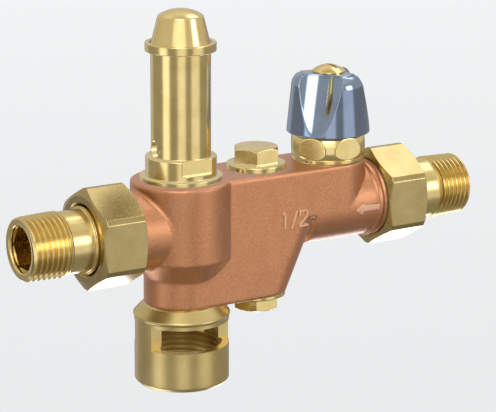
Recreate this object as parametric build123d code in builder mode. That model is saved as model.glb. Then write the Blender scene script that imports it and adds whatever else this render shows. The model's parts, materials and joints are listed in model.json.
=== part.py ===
from build123d import *
import math
import os

# Safety group for a water heater, with union ends, a diaphragm relief valve, a check valve and
# a shut-off valve in one cast body. Millimetres. The origin is the centre of the outlet
# tailpiece's open end, +X runs along the pipe axis towards the inlet, +Z is up.

# Clearances
running_gap = 0.05      # radial gap of a turning or sliding fit, and of a screwed joint
face_gap = 0.1          # axial gap between faces that turn on each other
ring_gap = 0.1          # gap between a sealing ring and its groove
overrun = 1.0           # how far a cut runs past the face or into the hole that it meets

# Edges of turned brass
turned_chamfer = 0.4
edge_break = 0.2

# Pipe threads, as plain cylinders at the thread's own radius
pipe_thread_radius = 10.48      # taper thread 1/2, major radius at the gauge plane
union_thread_radius = 13.0      # union thread 3/4, outside radius
waste_thread_radius = 12.06     # waste thread 3/4, hole radius

# Tailpieces
tail_length = 28.4          # open end to the face on the gasket
pipe_thread_length = 13.5
thread_lead_chamfer = 0.9
neck_radius = 10.15
hub_radius = 11.0           # thicker part that fills the nut's hole
hub_start = 19.6            # from the open end
neck_fillet = 1.0
collar_radius = 12.6
collar_thickness = 3.0
tail_bore_radius = 7.5
tail_bore_chamfer = 0.5
key_size = 13.2             # across the flats of the broached key hole
key_start = 1.6             # depth of the round mouth before the key hole
key_depth = 16.0

# Union nuts and gaskets
nut_across_flats = 30.0
nut_corner_radius = 16.8    # the hexagon's corners are turned down to this
nut_face_radius = 14.1      # flat ring of each end face
nut_chamfer_depth = 1.15
nut_length = 15.8
nut_shoulder = 3.2
nut_hole_gap = 0.35         # between the hub and the nut's hole
gasket_thickness = 2.0
gasket_radius = 12.4

# Cast body
shell_radius = 12.4             # half the thickness, and every round end of the casting
body_top = 15.6                 # above the pipe axis
body_bottom = 25.9              # below the pipe axis
slab_bottom = 0.7               # lower edge of the long upper slab, below the pipe axis
outlet_reach = 28.0             # relief axis to the outlet spud's face
plug_spacing = 28.7             # relief axis to check valve axis
shutoff_spacing = 28.4          # check valve axis to shut-off axis
inlet_reach = 23.1              # shut-off axis to the inlet spud's face
spud_radius = union_thread_radius
boss_radius = 16.6              # round boss under the relief valve
boss_bottom = 9.8               # where the boss starts to taper in, below the pipe axis
taper_bottom = 16.4
heel_reach = 7.4                # check valve axis to the slanted end, at the body's bottom
heel_lean = 0.461               # sideways run of the slanted end for each mm of rise
heel_round = 8.0
casting_round = 0.9             # soft edges of the casting
spud_fillet = 1.2              # between the outlet spud and the boss
lip_width = 1.5                 # raised lip at the inlet spud's root
lip_start = 12.7                # from the shut-off axis
relief_groove_width = 1.3       # thread relief behind the inlet spud

# Waterways in the body
outlet_bore_radius = 7.5
inlet_bore_radius = 6.5
relief_chamber_radius = 10.8
relief_chamber_floor = 8.6      # below the pipe axis
seat_tube_radius = 7.0
drain_radius = 5.0
relief_seat_height = 3.2
check_chamber_radius = 7.0
check_chamber_floor = 18.6      # below the pipe axis
check_seat_height = 0.5
check_seat_radius = 5.2
check_seat_depth = 2.0
shutoff_chamber_radius = 8.5
shutoff_seat_height = 1.0
shutoff_seat_radius = 5.0
shutoff_seat_depth = 3.0
under_seat_radius = 6.0
under_seat_floor = 8.5          # below the pipe axis
low_passage_radius = 3.0        # shut-off valve to check valve
low_passage_drop = 5.2
high_passage_radius = 3.4       # check valve to relief chamber
high_passage_rise = 4.6

# Relief valve
bonnet_thread_radius = 12.6
bonnet_thread_length = 5.7
bonnet_flange_radius = 13.5
bonnet_flange_thickness = 1.4
bonnet_base_radius = 11.55
bonnet_base_height = 6.4
bonnet_flats = 20.2             # across the two spanner flats of the base
bonnet_flat_bottom = 1.4        # how far above the flange the flats start
bonnet_tube_radius = 9.7
bonnet_tube_height = 34.1
bonnet_ring_radius = 11.5
bonnet_ring_height = 2.9
bonnet_bore_radius = 8.0
cap_recess_radius = 10.1
cap_recess_depth = 1.4
vent_hole_radius = 2.75
vent_hole_height = 2.8          # centre above the top of the base
diaphragm_thickness = 1.2
diaphragm_dish = 1.9            # how far the centre hangs below the rim
diaphragm_flat_radius = 7.4
diaphragm_edge_gap = 0.2        # between its slope and the chamber's wall
diaphragm_lean = 0.4            # its slope's upper side stands this far inside the lower side
seal_thickness = 1.7
seal_radius = 6.5
relief_disc_radius = 7.6
relief_disc_thickness = 2.9
relief_disc_lap = 1.1           # how far the disc's rim wraps the seal
disc_stem_radius = 4.2
disc_stem_length = 3.9
stem_socket_radius = 3.1
stem_socket_depth = 2.9
spring_plate_radius = 7.4
spring_plate_thickness = 2.0
spring_plate_hub_radius = 5.6
spindle_radius = 2.5
spindle_foot_radius = 2.95
spindle_foot_height = 2.4
relief_wire_radius = 0.9
relief_coil_radius = 6.4
relief_coil_turns = 9
adjuster_thickness = 4.6
adjuster_below_top = 1.2        # adjusting ring's top face below the recess floor
adjuster_slot_width = 2.0
adjuster_slot_depth = 1.6

# Lifting cap
cap_foot_radius = 9.75
cap_shoulder_radius = 7.35
cap_shoulder_height = 9.7       # above the cap's foot
cap_dome_height = 2.2
cap_hollow_radius = 6.4
cap_hollow_height = 3.0
spindle_in_cap = 7.0            # spindle's length above the cap's foot

# Plugs of the check valve chamber
plug_disc_radius = 9.9
plug_disc_thickness = 1.9
plug_flats = 14.0
plug_corner_chamfer = 0.45
top_hex_height = 5.4
bottom_hex_height = 4.3
top_plug_radius = 8.2
top_plug_length = 6.4
top_plug_hollow = 6.4           # radius of the top plug's hollow
top_plug_hollow_depth = 6.0
bottom_plug_radius = 4.9
bottom_plug_length = 6.6
plug_ring_wire = 0.5            # section radius of the plugs' sealing rings

# Check valve
poppet_radius = 7.1
poppet_thickness = 2.0
poppet_guide_radius = 5.0
poppet_guide_length = 5.5
poppet_slots = 4                # waterways along the guide
poppet_slot_width = 4.4
poppet_slot_floor = 3.0         # from the poppet's axis
poppet_stem_radius = 2.2
poppet_stem_length = 3.4
poppet_seal_thickness = 0.9
poppet_seal_radius = 6.6
check_wire_radius = 0.25
check_coil_radius = 3.9
check_coil_turns = 5

# Shut-off valve
headwork_thread_radius = 9.4
headwork_thread_length = 8.0
headwork_ring_radius = 12.2
headwork_ring_height = 1.3
bulge_radius = 13.1
bulge_height = 4.4              # widest point above the body's top
bulge_section = 4.6             # radius of the bulge's section
bulge_reach = 3.15              # the round section's upper end above its widest point
bulge_shoulder_inset = 1.0      # the bulge's upper shoulder, outwards from its section's centre
bulge_shoulder_drop = 0.3
bulge_flats = 24.2              # across the oval flats
bulge_flat_count = 6
headwork_neck_radius = 8.0
headwork_top = 15.0             # above the body's top
holder_well_radius = 7.0
holder_well_spare = 2.1         # left above the disc holder when it is fully lifted
shutoff_spindle_radius = 4.0
handle_drive_radius = 3.4
drive_step_height = 0.5         # where the spindle narrows, above the headwork's top
drive_cover = 1.5               # the handle's top face above the spindle's end
packing_height = 11.6           # packing ring above the body's top
packing_wire = 0.8
shutoff_lift = 4.5              # travel of the shut-off disc
washer_thickness = 2.0
washer_radius = 6.2
holder_radius = 6.6
holder_thickness = 3.4
holder_rim = 0.9

# Handle
handle_foot = 9.1               # rim above the body's top
handle_height = 20.2
handle_radius = 14.0
handle_waist_radius = 12.55     # where the straight wall ends
handle_waist = 15.0             # above the rim
handle_shoulder_radius = 11.7
handle_shoulder = 18.2
handle_top_radius = 9.6
handle_edge_round = 0.5
skirt_radius = 12.4
skirt_depth = 1.8
handle_hollow_radius = 9.0
handle_hollow_depth = 8.0
flute_count = 4
flute_radius = 11.5
flute_top_depth = 5.7           # from the handle's axis to the flute's floor, at the top face
flute_start_angle = 45.0
screw_head_radius = 5.5
screw_head_height = 2.5
screw_head_rim = 0.4
screw_shank_radius = 2.0
screw_shank_length = 9.0
screw_slot_width = 0.9
screw_slot_length = 9.0
screw_slot_depth = 0.9
screw_slot_angle = -80.0

# Discharge funnel
funnel_top_radius = 12.9
funnel_rim_radius = 15.9
funnel_cone_height = 3.2
funnel_height = 26.8
funnel_roof = 4.8               # thickness of the roof over the open space
funnel_bottom_chamfer = 1.3
funnel_spigot_radius = 8.0
funnel_spigot_length = 5.0
window_top = 5.5                # below the funnel's top face
window_height = 7.9
window_half_depth = 5.4         # distance of each milled window from the middle plane

# Derived stations along the pipe
relief_x = tail_length + gasket_thickness + outlet_reach
plug_x = relief_x + plug_spacing
shutoff_x = plug_x + shutoff_spacing
inlet_spud_x = shutoff_x + inlet_reach
outlet_spud_x = relief_x - outlet_reach
overall_length = inlet_spud_x + gasket_thickness + tail_length
nut_start = tail_length - collar_thickness - face_gap - nut_shoulder
nut_hole_radius = hub_radius + nut_hole_gap
ledge_height = body_top - bonnet_thread_length - diaphragm_thickness

os.makedirs("parts", exist_ok=True)


def upright(at_x):
    """Upright plane through the line at at_x: its own x is the radius, its own y the height."""
    return Plane(origin=(at_x, 0, 0), x_dir=(1, 0, 0), z_dir=(0, -1, 0))


def closed_outline(plane, points):
    """A flat face with straight sides through the points."""
    with BuildSketch(plane) as face:
        with BuildLine():
            Polyline(*points, close=True)
        make_face()
    return face.sketch


def turn_upright(at_x, points, mode=Mode.ADD):
    """Turn an outline of (radius, height) points about the upright line at at_x."""
    revolve(closed_outline(upright(at_x), points), axis=Axis((at_x, 0, 0), (0, 0, 1)), mode=mode)


def turn_level(points, mode=Mode.ADD):
    """Turn an outline of (x, radius) points about the pipe axis."""
    revolve(closed_outline(Plane.XZ, points), axis=Axis.X, mode=mode)


def bore_upright(at_x, radius, low, high):
    """Cut a round hole about the upright line at at_x, between two heights."""
    turn_upright(at_x, [(0, low), (radius, low), (radius, high), (0, high)], Mode.SUBTRACT)


def bore_level(start_x, end_x, radius, height=0.0):
    """Cut a round hole that runs along X at the given height."""
    with BuildSketch(Plane(origin=(start_x, 0, height), x_dir=(0, 1, 0), z_dir=(1, 0, 0))) as hole:
        Circle(radius)
    extrude(hole.sketch, amount=end_x - start_x, mode=Mode.SUBTRACT)


def ring_upright(at_x, height, coil_radius, wire_radius):
    """A sealing ring of round section, lying level about the upright line at at_x."""
    with BuildSketch(upright(at_x)) as section:
        with Locations((coil_radius, height)):
            Circle(wire_radius)
    revolve(section.sketch, axis=Axis((at_x, 0, 0), (0, 0, 1)))


def coil_upright(at_x, low, high, coil_radius, wire_radius, turns):
    """A coil spring about the upright line at at_x, its wire between two heights."""
    climb = high - low - 2 * wire_radius
    start = (at_x + coil_radius, 0, low + wire_radius)
    path = Helix(pitch=climb / turns, height=climb, radius=coil_radius,
                 center=(at_x, 0, low + wire_radius), mode=Mode.PRIVATE)
    with BuildSketch(Plane(origin=start, x_dir=(1, 0, 0), z_dir=path % 0)) as section:
        Circle(wire_radius)
    sweep(section.sketch, path=path, is_frenet=True)


# Valve body

with BuildPart() as valve_body:
    heel_x = plug_x + heel_reach
    heel_rise = body_bottom - slab_bottom
    with BuildSketch(Plane.XZ) as lower_side:
        with BuildLine():
            Polyline(
                (relief_x, -slab_bottom),
                (relief_x, -body_bottom),
                (heel_x, -body_bottom),
                (heel_x + heel_lean * heel_rise, -slab_bottom),
                close=True,
            )
        make_face()
    extrude(amount=shell_radius, both=True)
    heel_edges = valve_body.edges().filter_by(
        lambda edge: edge.center().X > plug_x and abs(edge.tangent_at(0.5).Z) > 0.5
    )
    fillet(heel_edges, radius=heel_round)
    with BuildSketch(Plane.XY.offset(-slab_bottom)):
        with Locations(((relief_x + shutoff_x) / 2, 0)):
            SlotCenterToCenter(shutoff_x - relief_x, 2 * shell_radius)
    extrude(amount=slab_bottom + body_top)
    with BuildSketch(Plane.YZ.offset(shutoff_x - shell_radius)):
        Circle(shell_radius)
    extrude(amount=lip_start + shell_radius)
    turn_upright(relief_x, [
        (0, -body_bottom),
        (shell_radius, -body_bottom),
        (shell_radius, -taper_bottom),
        (boss_radius, -boss_bottom),
        (boss_radius, body_top),
        (0, body_top),
    ])
    top_edges = valve_body.edges().group_by(Axis.Z)[-1]
    bottom_edges = valve_body.edges().group_by(Axis.Z)[0]
    fillet(top_edges + bottom_edges, radius=casting_round)

    with BuildSketch(Plane.YZ.offset(outlet_spud_x)):
        Circle(spud_radius)
    extrude(amount=outlet_reach)
    spud_root = valve_body.edges().filter_by(
        lambda edge: edge.geom_type not in (GeomType.LINE, GeomType.CIRCLE)
        and edge.bounding_box().max.X < relief_x
    )
    fillet(spud_root, radius=spud_fillet)
    lip_x = shutoff_x + lip_start
    groove_x = lip_x + lip_width
    thread_x = groove_x + relief_groove_width
    turn_level([
        (lip_x, 0),
        (lip_x, spud_radius),
        (groove_x, spud_radius),
        (groove_x, shell_radius),
        (thread_x, shell_radius),
        (thread_x, spud_radius),
        (inlet_spud_x, spud_radius),
        (inlet_spud_x, 0),
    ])

    # Relief chamber, with the seat tube left standing in it
    bore_upright(relief_x, bonnet_thread_radius + running_gap, ledge_height, body_top)
    turn_upright(relief_x, [
        (seat_tube_radius, -relief_chamber_floor),
        (relief_chamber_radius, -relief_chamber_floor),
        (relief_chamber_radius, ledge_height),
        (0, ledge_height),
        (0, relief_seat_height),
        (seat_tube_radius, relief_seat_height),
    ], Mode.SUBTRACT)
    bore_upright(relief_x, drain_radius, -body_bottom, relief_seat_height)
    bore_upright(relief_x, funnel_spigot_radius + running_gap, -body_bottom,
                 -body_bottom + funnel_spigot_length + face_gap)
    bore_level(outlet_spud_x, relief_x - seat_tube_radius - overrun, outlet_bore_radius)

    # Check valve chamber
    bore_upright(plug_x, bottom_plug_radius + running_gap, -body_bottom, -check_chamber_floor)
    bore_upright(plug_x, check_chamber_radius, -check_chamber_floor,
                 check_seat_height - check_seat_depth)
    bore_upright(plug_x, check_seat_radius, check_seat_height - check_seat_depth,
                 check_seat_height)
    bore_upright(plug_x, top_plug_radius + running_gap, check_seat_height, body_top)
    bore_level(relief_x + relief_chamber_radius - overrun, plug_x - check_seat_radius,
               high_passage_radius, high_passage_rise)

    # Shut-off chamber
    bore_upright(shutoff_x, under_seat_radius, -under_seat_floor,
                 shutoff_seat_height - shutoff_seat_depth)
    bore_upright(shutoff_x, shutoff_seat_radius, shutoff_seat_height - shutoff_seat_depth,
                 shutoff_seat_height)
    bore_upright(shutoff_x, shutoff_chamber_radius, shutoff_seat_height,
                 body_top - headwork_thread_length)
    bore_upright(shutoff_x, headwork_thread_radius + running_gap,
                 body_top - headwork_thread_length, body_top)
    bore_level(shutoff_x + shutoff_chamber_radius - overrun, inlet_spud_x, inlet_bore_radius)
    bore_level(plug_x + check_seat_radius, shutoff_x - under_seat_radius + overrun,
               low_passage_radius, -low_passage_drop)


# Tailpieces, drawn from the open end and moved or turned to their places

def tailpiece_outline(place):
    """Outer outline of a tailpiece; place turns a distance from the open end into x."""
    return [
        (place(0), 0),
        (place(0), pipe_thread_radius - thread_lead_chamfer),
        (place(thread_lead_chamfer), pipe_thread_radius),
        (place(pipe_thread_length), pipe_thread_radius),
        (place(pipe_thread_length), neck_radius),
        (place(hub_start - neck_fillet), neck_radius),
        (place(hub_start), hub_radius),
        (place(tail_length - collar_thickness), hub_radius),
        (place(tail_length - collar_thickness), collar_radius),
        (place(tail_length), collar_radius),
        (place(tail_length), 0),
    ]


def bore_tailpiece(place):
    """Cut the waterway, its chamfered mouth and the hexagonal key hole behind the mouth."""
    turn_level([
        (place(0), 0),
        (place(0), tail_bore_radius + tail_bore_chamfer),
        (place(tail_bore_chamfer), tail_bore_radius),
        (place(key_start), tail_bore_radius),
        (place(key_start), 0),
    ], Mode.SUBTRACT)
    with BuildSketch(Plane.YZ.offset(min(place(key_start), place(key_depth)))) as key_hole:
        RegularPolygon(key_size / 2, 6, major_radius=False)
    extrude(key_hole.sketch, amount=key_depth - key_start, mode=Mode.SUBTRACT)
    bore_level(place(key_depth), place(tail_length), key_size / 2)


def from_outlet_end(distance):
    """x of a point this far in from the outlet tailpiece's open end."""
    return distance


def from_inlet_end(distance):
    """x of a point this far in from the inlet tailpiece's open end."""
    return overall_length - distance


with BuildPart() as outlet_tailpiece:
    turn_level(tailpiece_outline(from_outlet_end))
    bore_tailpiece(from_outlet_end)

with BuildPart() as inlet_tailpiece:
    turn_level(tailpiece_outline(from_inlet_end))
    bore_tailpiece(from_inlet_end)


def gasket_at(place):
    """A flat ring between a tailpiece's collar and the spud's face."""
    inner_face = place(tail_length + gasket_thickness)
    turn_level([
        (place(tail_length), tail_bore_radius),
        (place(tail_length), gasket_radius),
        (inner_face, gasket_radius),
        (inner_face, tail_bore_radius),
    ])


with BuildPart() as outlet_gasket:
    gasket_at(from_outlet_end)

with BuildPart() as inlet_gasket:
    gasket_at(from_inlet_end)


def union_nut(place):
    """A hexagon with turned corners and chamfered ends, a shoulder hole and a threaded bore."""
    first_x = min(place(nut_start), place(nut_start + nut_length))
    with BuildSketch(Plane.YZ.offset(first_x)) as hexagon:
        RegularPolygon(nut_across_flats / 2, 6, major_radius=False, rotation=30)
    extrude(hexagon.sketch, amount=nut_length)
    turn_level([
        (place(nut_start), 0),
        (place(nut_start), nut_face_radius),
        (place(nut_start + nut_chamfer_depth), nut_corner_radius),
        (place(nut_start + nut_length - nut_chamfer_depth), nut_corner_radius),
        (place(nut_start + nut_length), nut_face_radius),
        (place(nut_start + nut_length), 0),
    ], Mode.INTERSECT)
    bore_level(place(nut_start), place(nut_start + nut_shoulder), nut_hole_radius)
    bore_level(place(nut_start + nut_shoulder), place(nut_start + nut_length),
               union_thread_radius + running_gap)


with BuildPart() as outlet_union_nut:
    union_nut(from_outlet_end)

with BuildPart() as inlet_union_nut:
    union_nut(from_inlet_end)


# Relief valve: bonnet

flange_top = body_top + bonnet_flange_thickness
base_top = flange_top + bonnet_base_height
tube_top = base_top + bonnet_tube_height
bonnet_top = tube_top + bonnet_ring_height
recess_floor = bonnet_top - cap_recess_depth
bonnet_bottom = body_top - bonnet_thread_length

with BuildPart() as relief_bonnet:
    turn_upright(relief_x, [
        (0, bonnet_bottom),
        (bonnet_thread_radius, bonnet_bottom),
        (bonnet_thread_radius, body_top),
        (bonnet_flange_radius - turned_chamfer, body_top),
        (bonnet_flange_radius, body_top + turned_chamfer),
        (bonnet_flange_radius, flange_top - turned_chamfer),
        (bonnet_flange_radius - turned_chamfer, flange_top),
        (bonnet_base_radius, flange_top),
        (bonnet_base_radius, base_top - turned_chamfer),
        (bonnet_base_radius - turned_chamfer, base_top),
        (bonnet_tube_radius, base_top),
        (bonnet_tube_radius, tube_top),
        (bonnet_ring_radius - turned_chamfer, tube_top),
        (bonnet_ring_radius, tube_top + turned_chamfer),
        (bonnet_ring_radius, bonnet_top - edge_break),
        (bonnet_ring_radius - edge_break, bonnet_top),
        (0, bonnet_top),
    ])
    flat_height = bonnet_base_height - bonnet_flat_bottom
    flat_middle = flange_top + bonnet_flat_bottom + flat_height / 2
    for side in (-1, 1):
        flat_cut = bonnet_base_radius
        with Locations((relief_x, side * (bonnet_flats / 2 + flat_cut / 2), flat_middle)):
            Box(3 * bonnet_base_radius, flat_cut, flat_height, mode=Mode.SUBTRACT)
    bore_upright(relief_x, bonnet_bore_radius, bonnet_bottom, recess_floor)
    bore_upright(relief_x, cap_recess_radius, recess_floor, bonnet_top)
    bore_level(relief_x - bonnet_base_radius - overrun, relief_x, vent_hole_radius,
               base_top + vent_hole_height)


# Relief valve: moving parts, from the seat upwards

seal_low = relief_seat_height + running_gap
disc_low = seal_low + seal_thickness - relief_disc_lap
disc_high = disc_low + relief_disc_thickness
stem_top = disc_high + disc_stem_length
diaphragm_centre_low = ledge_height - diaphragm_dish

with BuildPart() as relief_seal:
    turn_upright(relief_x, [
        (0, seal_low),
        (seal_radius, seal_low),
        (seal_radius, seal_low + seal_thickness),
        (0, seal_low + seal_thickness),
    ])

with BuildPart() as relief_disc:
    turn_upright(relief_x, [
        (0, seal_low + seal_thickness),
        (seal_radius, seal_low + seal_thickness),
        (seal_radius, disc_low),
        (relief_disc_radius, disc_low),
        (relief_disc_radius, disc_high),
        (disc_stem_radius, disc_high),
        (disc_stem_radius, stem_top),
        (stem_socket_radius, stem_top),
        (stem_socket_radius, stem_top - stem_socket_depth),
        (0, stem_top - stem_socket_depth),
    ])

with BuildPart() as relief_diaphragm:
    turn_upright(relief_x, [
        (disc_stem_radius + running_gap, diaphragm_centre_low),
        (diaphragm_flat_radius, diaphragm_centre_low),
        (relief_chamber_radius - diaphragm_edge_gap, ledge_height),
        (bonnet_thread_radius - ring_gap, ledge_height),
        (bonnet_thread_radius - ring_gap, ledge_height + diaphragm_thickness),
        (relief_chamber_radius - diaphragm_edge_gap - diaphragm_lean,
         ledge_height + diaphragm_thickness),
        (diaphragm_flat_radius - diaphragm_lean, diaphragm_centre_low + diaphragm_thickness),
        (disc_stem_radius + running_gap, diaphragm_centre_low + diaphragm_thickness),
    ])

plate_low = stem_top
plate_high = plate_low + spring_plate_thickness
hub_low = diaphragm_centre_low + diaphragm_thickness

with BuildPart() as spring_plate:
    turn_upright(relief_x, [
        (disc_stem_radius, hub_low),
        (spring_plate_hub_radius, hub_low),
        (spring_plate_hub_radius, plate_low),
        (spring_plate_radius, plate_low),
        (spring_plate_radius, plate_high),
        (spindle_radius + running_gap, plate_high),
        (spindle_radius + running_gap, plate_low),
        (disc_stem_radius, plate_low),
    ])

adjuster_high = recess_floor - adjuster_below_top
adjuster_low = adjuster_high - adjuster_thickness

with BuildPart() as adjusting_ring:
    turn_upright(relief_x, [
        (spindle_radius + ring_gap, adjuster_low),
        (bonnet_bore_radius - running_gap, adjuster_low),
        (bonnet_bore_radius - running_gap, adjuster_high),
        (spindle_radius + ring_gap, adjuster_high),
    ])
    with Locations((relief_x, 0, adjuster_high - adjuster_slot_depth / 2)):
        Box(2 * bonnet_bore_radius, adjuster_slot_width, adjuster_slot_depth,
            mode=Mode.SUBTRACT)

with BuildPart() as relief_spring:
    coil_upright(relief_x, plate_high, adjuster_low, relief_coil_radius, relief_wire_radius,
                 relief_coil_turns)

cap_foot = recess_floor + face_gap
spindle_top = cap_foot + spindle_in_cap
foot_low = stem_top - stem_socket_depth + face_gap

with BuildPart() as relief_spindle:
    turn_upright(relief_x, [
        (0, foot_low),
        (spindle_foot_radius, foot_low),
        (spindle_foot_radius, foot_low + spindle_foot_height),
        (spindle_radius, foot_low + spindle_foot_height),
        (spindle_radius, spindle_top),
        (0, spindle_top),
    ])

cap_shoulder = cap_foot + cap_shoulder_height

with BuildPart() as lifting_cap:
    with BuildSketch(upright(relief_x)):
        with BuildLine():
            Polyline(
                (0, cap_shoulder + cap_dome_height),
                (0, cap_foot),
                (cap_foot_radius, cap_foot),
                (cap_shoulder_radius, cap_shoulder),
            )
            TangentArc(
                (0, cap_shoulder + cap_dome_height),
                (cap_shoulder_radius, cap_shoulder),
                tangent=(1, 0),
                tangent_from_first=True,
            )
        make_face()
    revolve(axis=Axis((relief_x, 0, 0), (0, 0, 1)))
    bore_upright(relief_x, cap_hollow_radius, cap_foot, cap_foot + cap_hollow_height)
    bore_upright(relief_x, spindle_radius, cap_foot, spindle_top)


# Plugs and their sealing rings

def hexagon_head(at_x, low, height, upwards):
    """A hexagon with flats towards the front and back, its outer corners chamfered."""
    with BuildSketch(Plane.XY.offset(low)) as hexagon:
        with Locations((at_x, 0)):
            RegularPolygon(plug_flats / 2, 6, major_radius=False)
    extrude(hexagon.sketch, amount=height)
    corner = plug_flats / 2 / math.cos(math.radians(30))
    outer = low + height if upwards else low
    inner = outer - plug_corner_chamfer if upwards else outer + plug_corner_chamfer
    turn_upright(at_x, [
        (corner + overrun, outer),
        (plug_flats / 2, outer),
        (corner, inner),
        (corner + overrun, inner),
    ], Mode.SUBTRACT)


plug_groove_width = 2 * (plug_ring_wire + ring_gap)
plug_groove_depth = 2 * plug_ring_wire + ring_gap
ring_offset = plug_ring_wire + ring_gap

with BuildPart() as top_plug:
    hexagon_head(plug_x, body_top + plug_disc_thickness, top_hex_height, True)
    turn_upright(plug_x, [
        (0, body_top - top_plug_length),
        (top_plug_radius, body_top - top_plug_length),
        (top_plug_radius, body_top + plug_groove_depth),
        (top_plug_radius + plug_groove_width, body_top + plug_groove_depth),
        (top_plug_radius + plug_groove_width, body_top),
        (plug_disc_radius, body_top),
        (plug_disc_radius, body_top + plug_disc_thickness - edge_break),
        (plug_disc_radius - edge_break, body_top + plug_disc_thickness),
        (0, body_top + plug_disc_thickness),
    ])
    bore_upright(plug_x, top_plug_hollow, body_top - top_plug_length,
                 body_top - top_plug_length + top_plug_hollow_depth)

bottom_plug_face = -body_bottom - plug_disc_thickness

with BuildPart() as bottom_plug:
    hexagon_head(plug_x, bottom_plug_face - bottom_hex_height, bottom_hex_height, False)
    turn_upright(plug_x, [
        (0, bottom_plug_face),
        (plug_disc_radius - edge_break, bottom_plug_face),
        (plug_disc_radius, bottom_plug_face + edge_break),
        (plug_disc_radius, -body_bottom),
        (bottom_plug_radius + plug_groove_width, -body_bottom),
        (bottom_plug_radius + plug_groove_width, -body_bottom - plug_groove_depth),
        (bottom_plug_radius, -body_bottom - plug_groove_depth),
        (bottom_plug_radius, -body_bottom + bottom_plug_length),
        (0, -body_bottom + bottom_plug_length),
    ])

with BuildPart() as top_plug_seal:
    ring_upright(plug_x, body_top + plug_ring_wire, top_plug_radius + ring_offset,
                 plug_ring_wire)

with BuildPart() as bottom_plug_seal:
    ring_upright(plug_x, -body_bottom - plug_ring_wire, bottom_plug_radius + ring_offset,
                 plug_ring_wire)


# Check valve

poppet_low = check_seat_height + face_gap + poppet_seal_thickness
poppet_high = poppet_low + poppet_thickness

with BuildPart() as check_poppet:
    turn_upright(plug_x, [
        (0, check_seat_height - poppet_guide_length),
        (poppet_guide_radius, check_seat_height - poppet_guide_length),
        (poppet_guide_radius, poppet_low),
        (poppet_radius, poppet_low),
        (poppet_radius, poppet_high),
        (poppet_stem_radius, poppet_high),
        (poppet_stem_radius, poppet_high + poppet_stem_length),
        (0, poppet_high + poppet_stem_length),
    ])
    slot_depth = poppet_guide_radius - poppet_slot_floor + overrun
    slot_height = poppet_guide_length + face_gap + overrun
    slot_middle = check_seat_height + face_gap - slot_height / 2
    for slot in range(poppet_slots):
        angle = 360 * (slot + 0.5) / poppet_slots
        offset_x = (poppet_slot_floor + slot_depth / 2) * math.cos(math.radians(angle))
        offset_y = (poppet_slot_floor + slot_depth / 2) * math.sin(math.radians(angle))
        with Locations(Location((plug_x + offset_x, offset_y, slot_middle), (0, 0, angle))):
            Box(slot_depth, poppet_slot_width, slot_height, mode=Mode.SUBTRACT)

with BuildPart() as check_seal:
    turn_upright(plug_x, [
        (poppet_guide_radius, check_seat_height + face_gap),
        (poppet_seal_radius, check_seat_height + face_gap),
        (poppet_seal_radius, poppet_low),
        (poppet_guide_radius, poppet_low),
    ])

with BuildPart() as check_spring:
    coil_upright(plug_x, poppet_high, body_top - top_plug_length + top_plug_hollow_depth,
                 check_coil_radius, check_wire_radius, check_coil_turns)


# Shut-off valve

headwork_bottom = body_top - headwork_thread_length
headwork_ring_top = body_top + headwork_ring_height
bulge_middle = body_top + bulge_height
bulge_centre = bulge_radius - bulge_section
bulge_end = bulge_centre + math.sqrt(bulge_section**2 - bulge_reach**2)
bulge_drop = bulge_middle - headwork_ring_top
bulge_root = bulge_centre + math.sqrt(bulge_section**2 - bulge_drop**2)
headwork_peak = body_top + headwork_top
packing_middle = body_top + packing_height
washer_low = shutoff_seat_height + running_gap
washer_high = washer_low + washer_thickness
holder_low = washer_high - holder_rim
holder_high = holder_low + holder_thickness
handle_bottom = body_top + handle_foot
handle_top = handle_bottom + handle_height

with BuildPart() as headwork:
    with BuildSketch(upright(shutoff_x)):
        with BuildLine():
            Polyline(
                (bulge_root, headwork_ring_top),
                (headwork_ring_radius, headwork_ring_top),
                (headwork_ring_radius, body_top),
                (headwork_thread_radius, body_top),
                (headwork_thread_radius, headwork_bottom),
                (0, headwork_bottom),
                (0, headwork_peak),
                (headwork_neck_radius, headwork_peak),
                (headwork_neck_radius, bulge_middle + bulge_section),
                (bulge_centre + bulge_shoulder_inset,
                 bulge_middle + bulge_section - bulge_shoulder_drop),
                (bulge_end, bulge_middle + bulge_reach),
            )
            ThreePointArc(
                (bulge_end, bulge_middle + bulge_reach),
                (bulge_radius, bulge_middle),
                (bulge_root, headwork_ring_top),
            )
        make_face()
    revolve(axis=Axis((shutoff_x, 0, 0), (0, 0, 1)))
    for face in range(bulge_flat_count):
        angle = 360 * (face + 0.5) / bulge_flat_count
        cut_middle = bulge_flats / 2 + bulge_radius / 2
        offset_x = cut_middle * math.cos(math.radians(angle))
        offset_y = cut_middle * math.sin(math.radians(angle))
        flat_middle = (headwork_ring_top + bulge_middle + bulge_reach) / 2
        with Locations(Location((shutoff_x + offset_x, offset_y, flat_middle), (0, 0, angle))):
            Box(bulge_radius, 2 * bulge_radius, bulge_drop + bulge_reach, mode=Mode.SUBTRACT)
    bore_upright(shutoff_x, holder_well_radius, headwork_bottom,
                 holder_high + shutoff_lift + holder_well_spare)
    bore_upright(shutoff_x, shutoff_spindle_radius + running_gap, headwork_bottom,
                 headwork_peak)
    bore_upright(shutoff_x, shutoff_spindle_radius + 2 * packing_wire + 2 * ring_gap,
                 packing_middle - packing_wire - ring_gap,
                 packing_middle + packing_wire + ring_gap)

with BuildPart() as spindle_packing:
    ring_upright(shutoff_x, packing_middle,
                 shutoff_spindle_radius + packing_wire + ring_gap, packing_wire)

with BuildPart() as shutoff_washer:
    turn_upright(shutoff_x, [
        (0, washer_low),
        (washer_radius, washer_low),
        (washer_radius, washer_high),
        (0, washer_high),
    ])

with BuildPart() as disc_holder:
    turn_upright(shutoff_x, [
        (0, washer_high),
        (washer_radius, washer_high),
        (washer_radius, holder_low),
        (holder_radius, holder_low),
        (holder_radius, holder_high),
        (0, holder_high),
    ])

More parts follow.
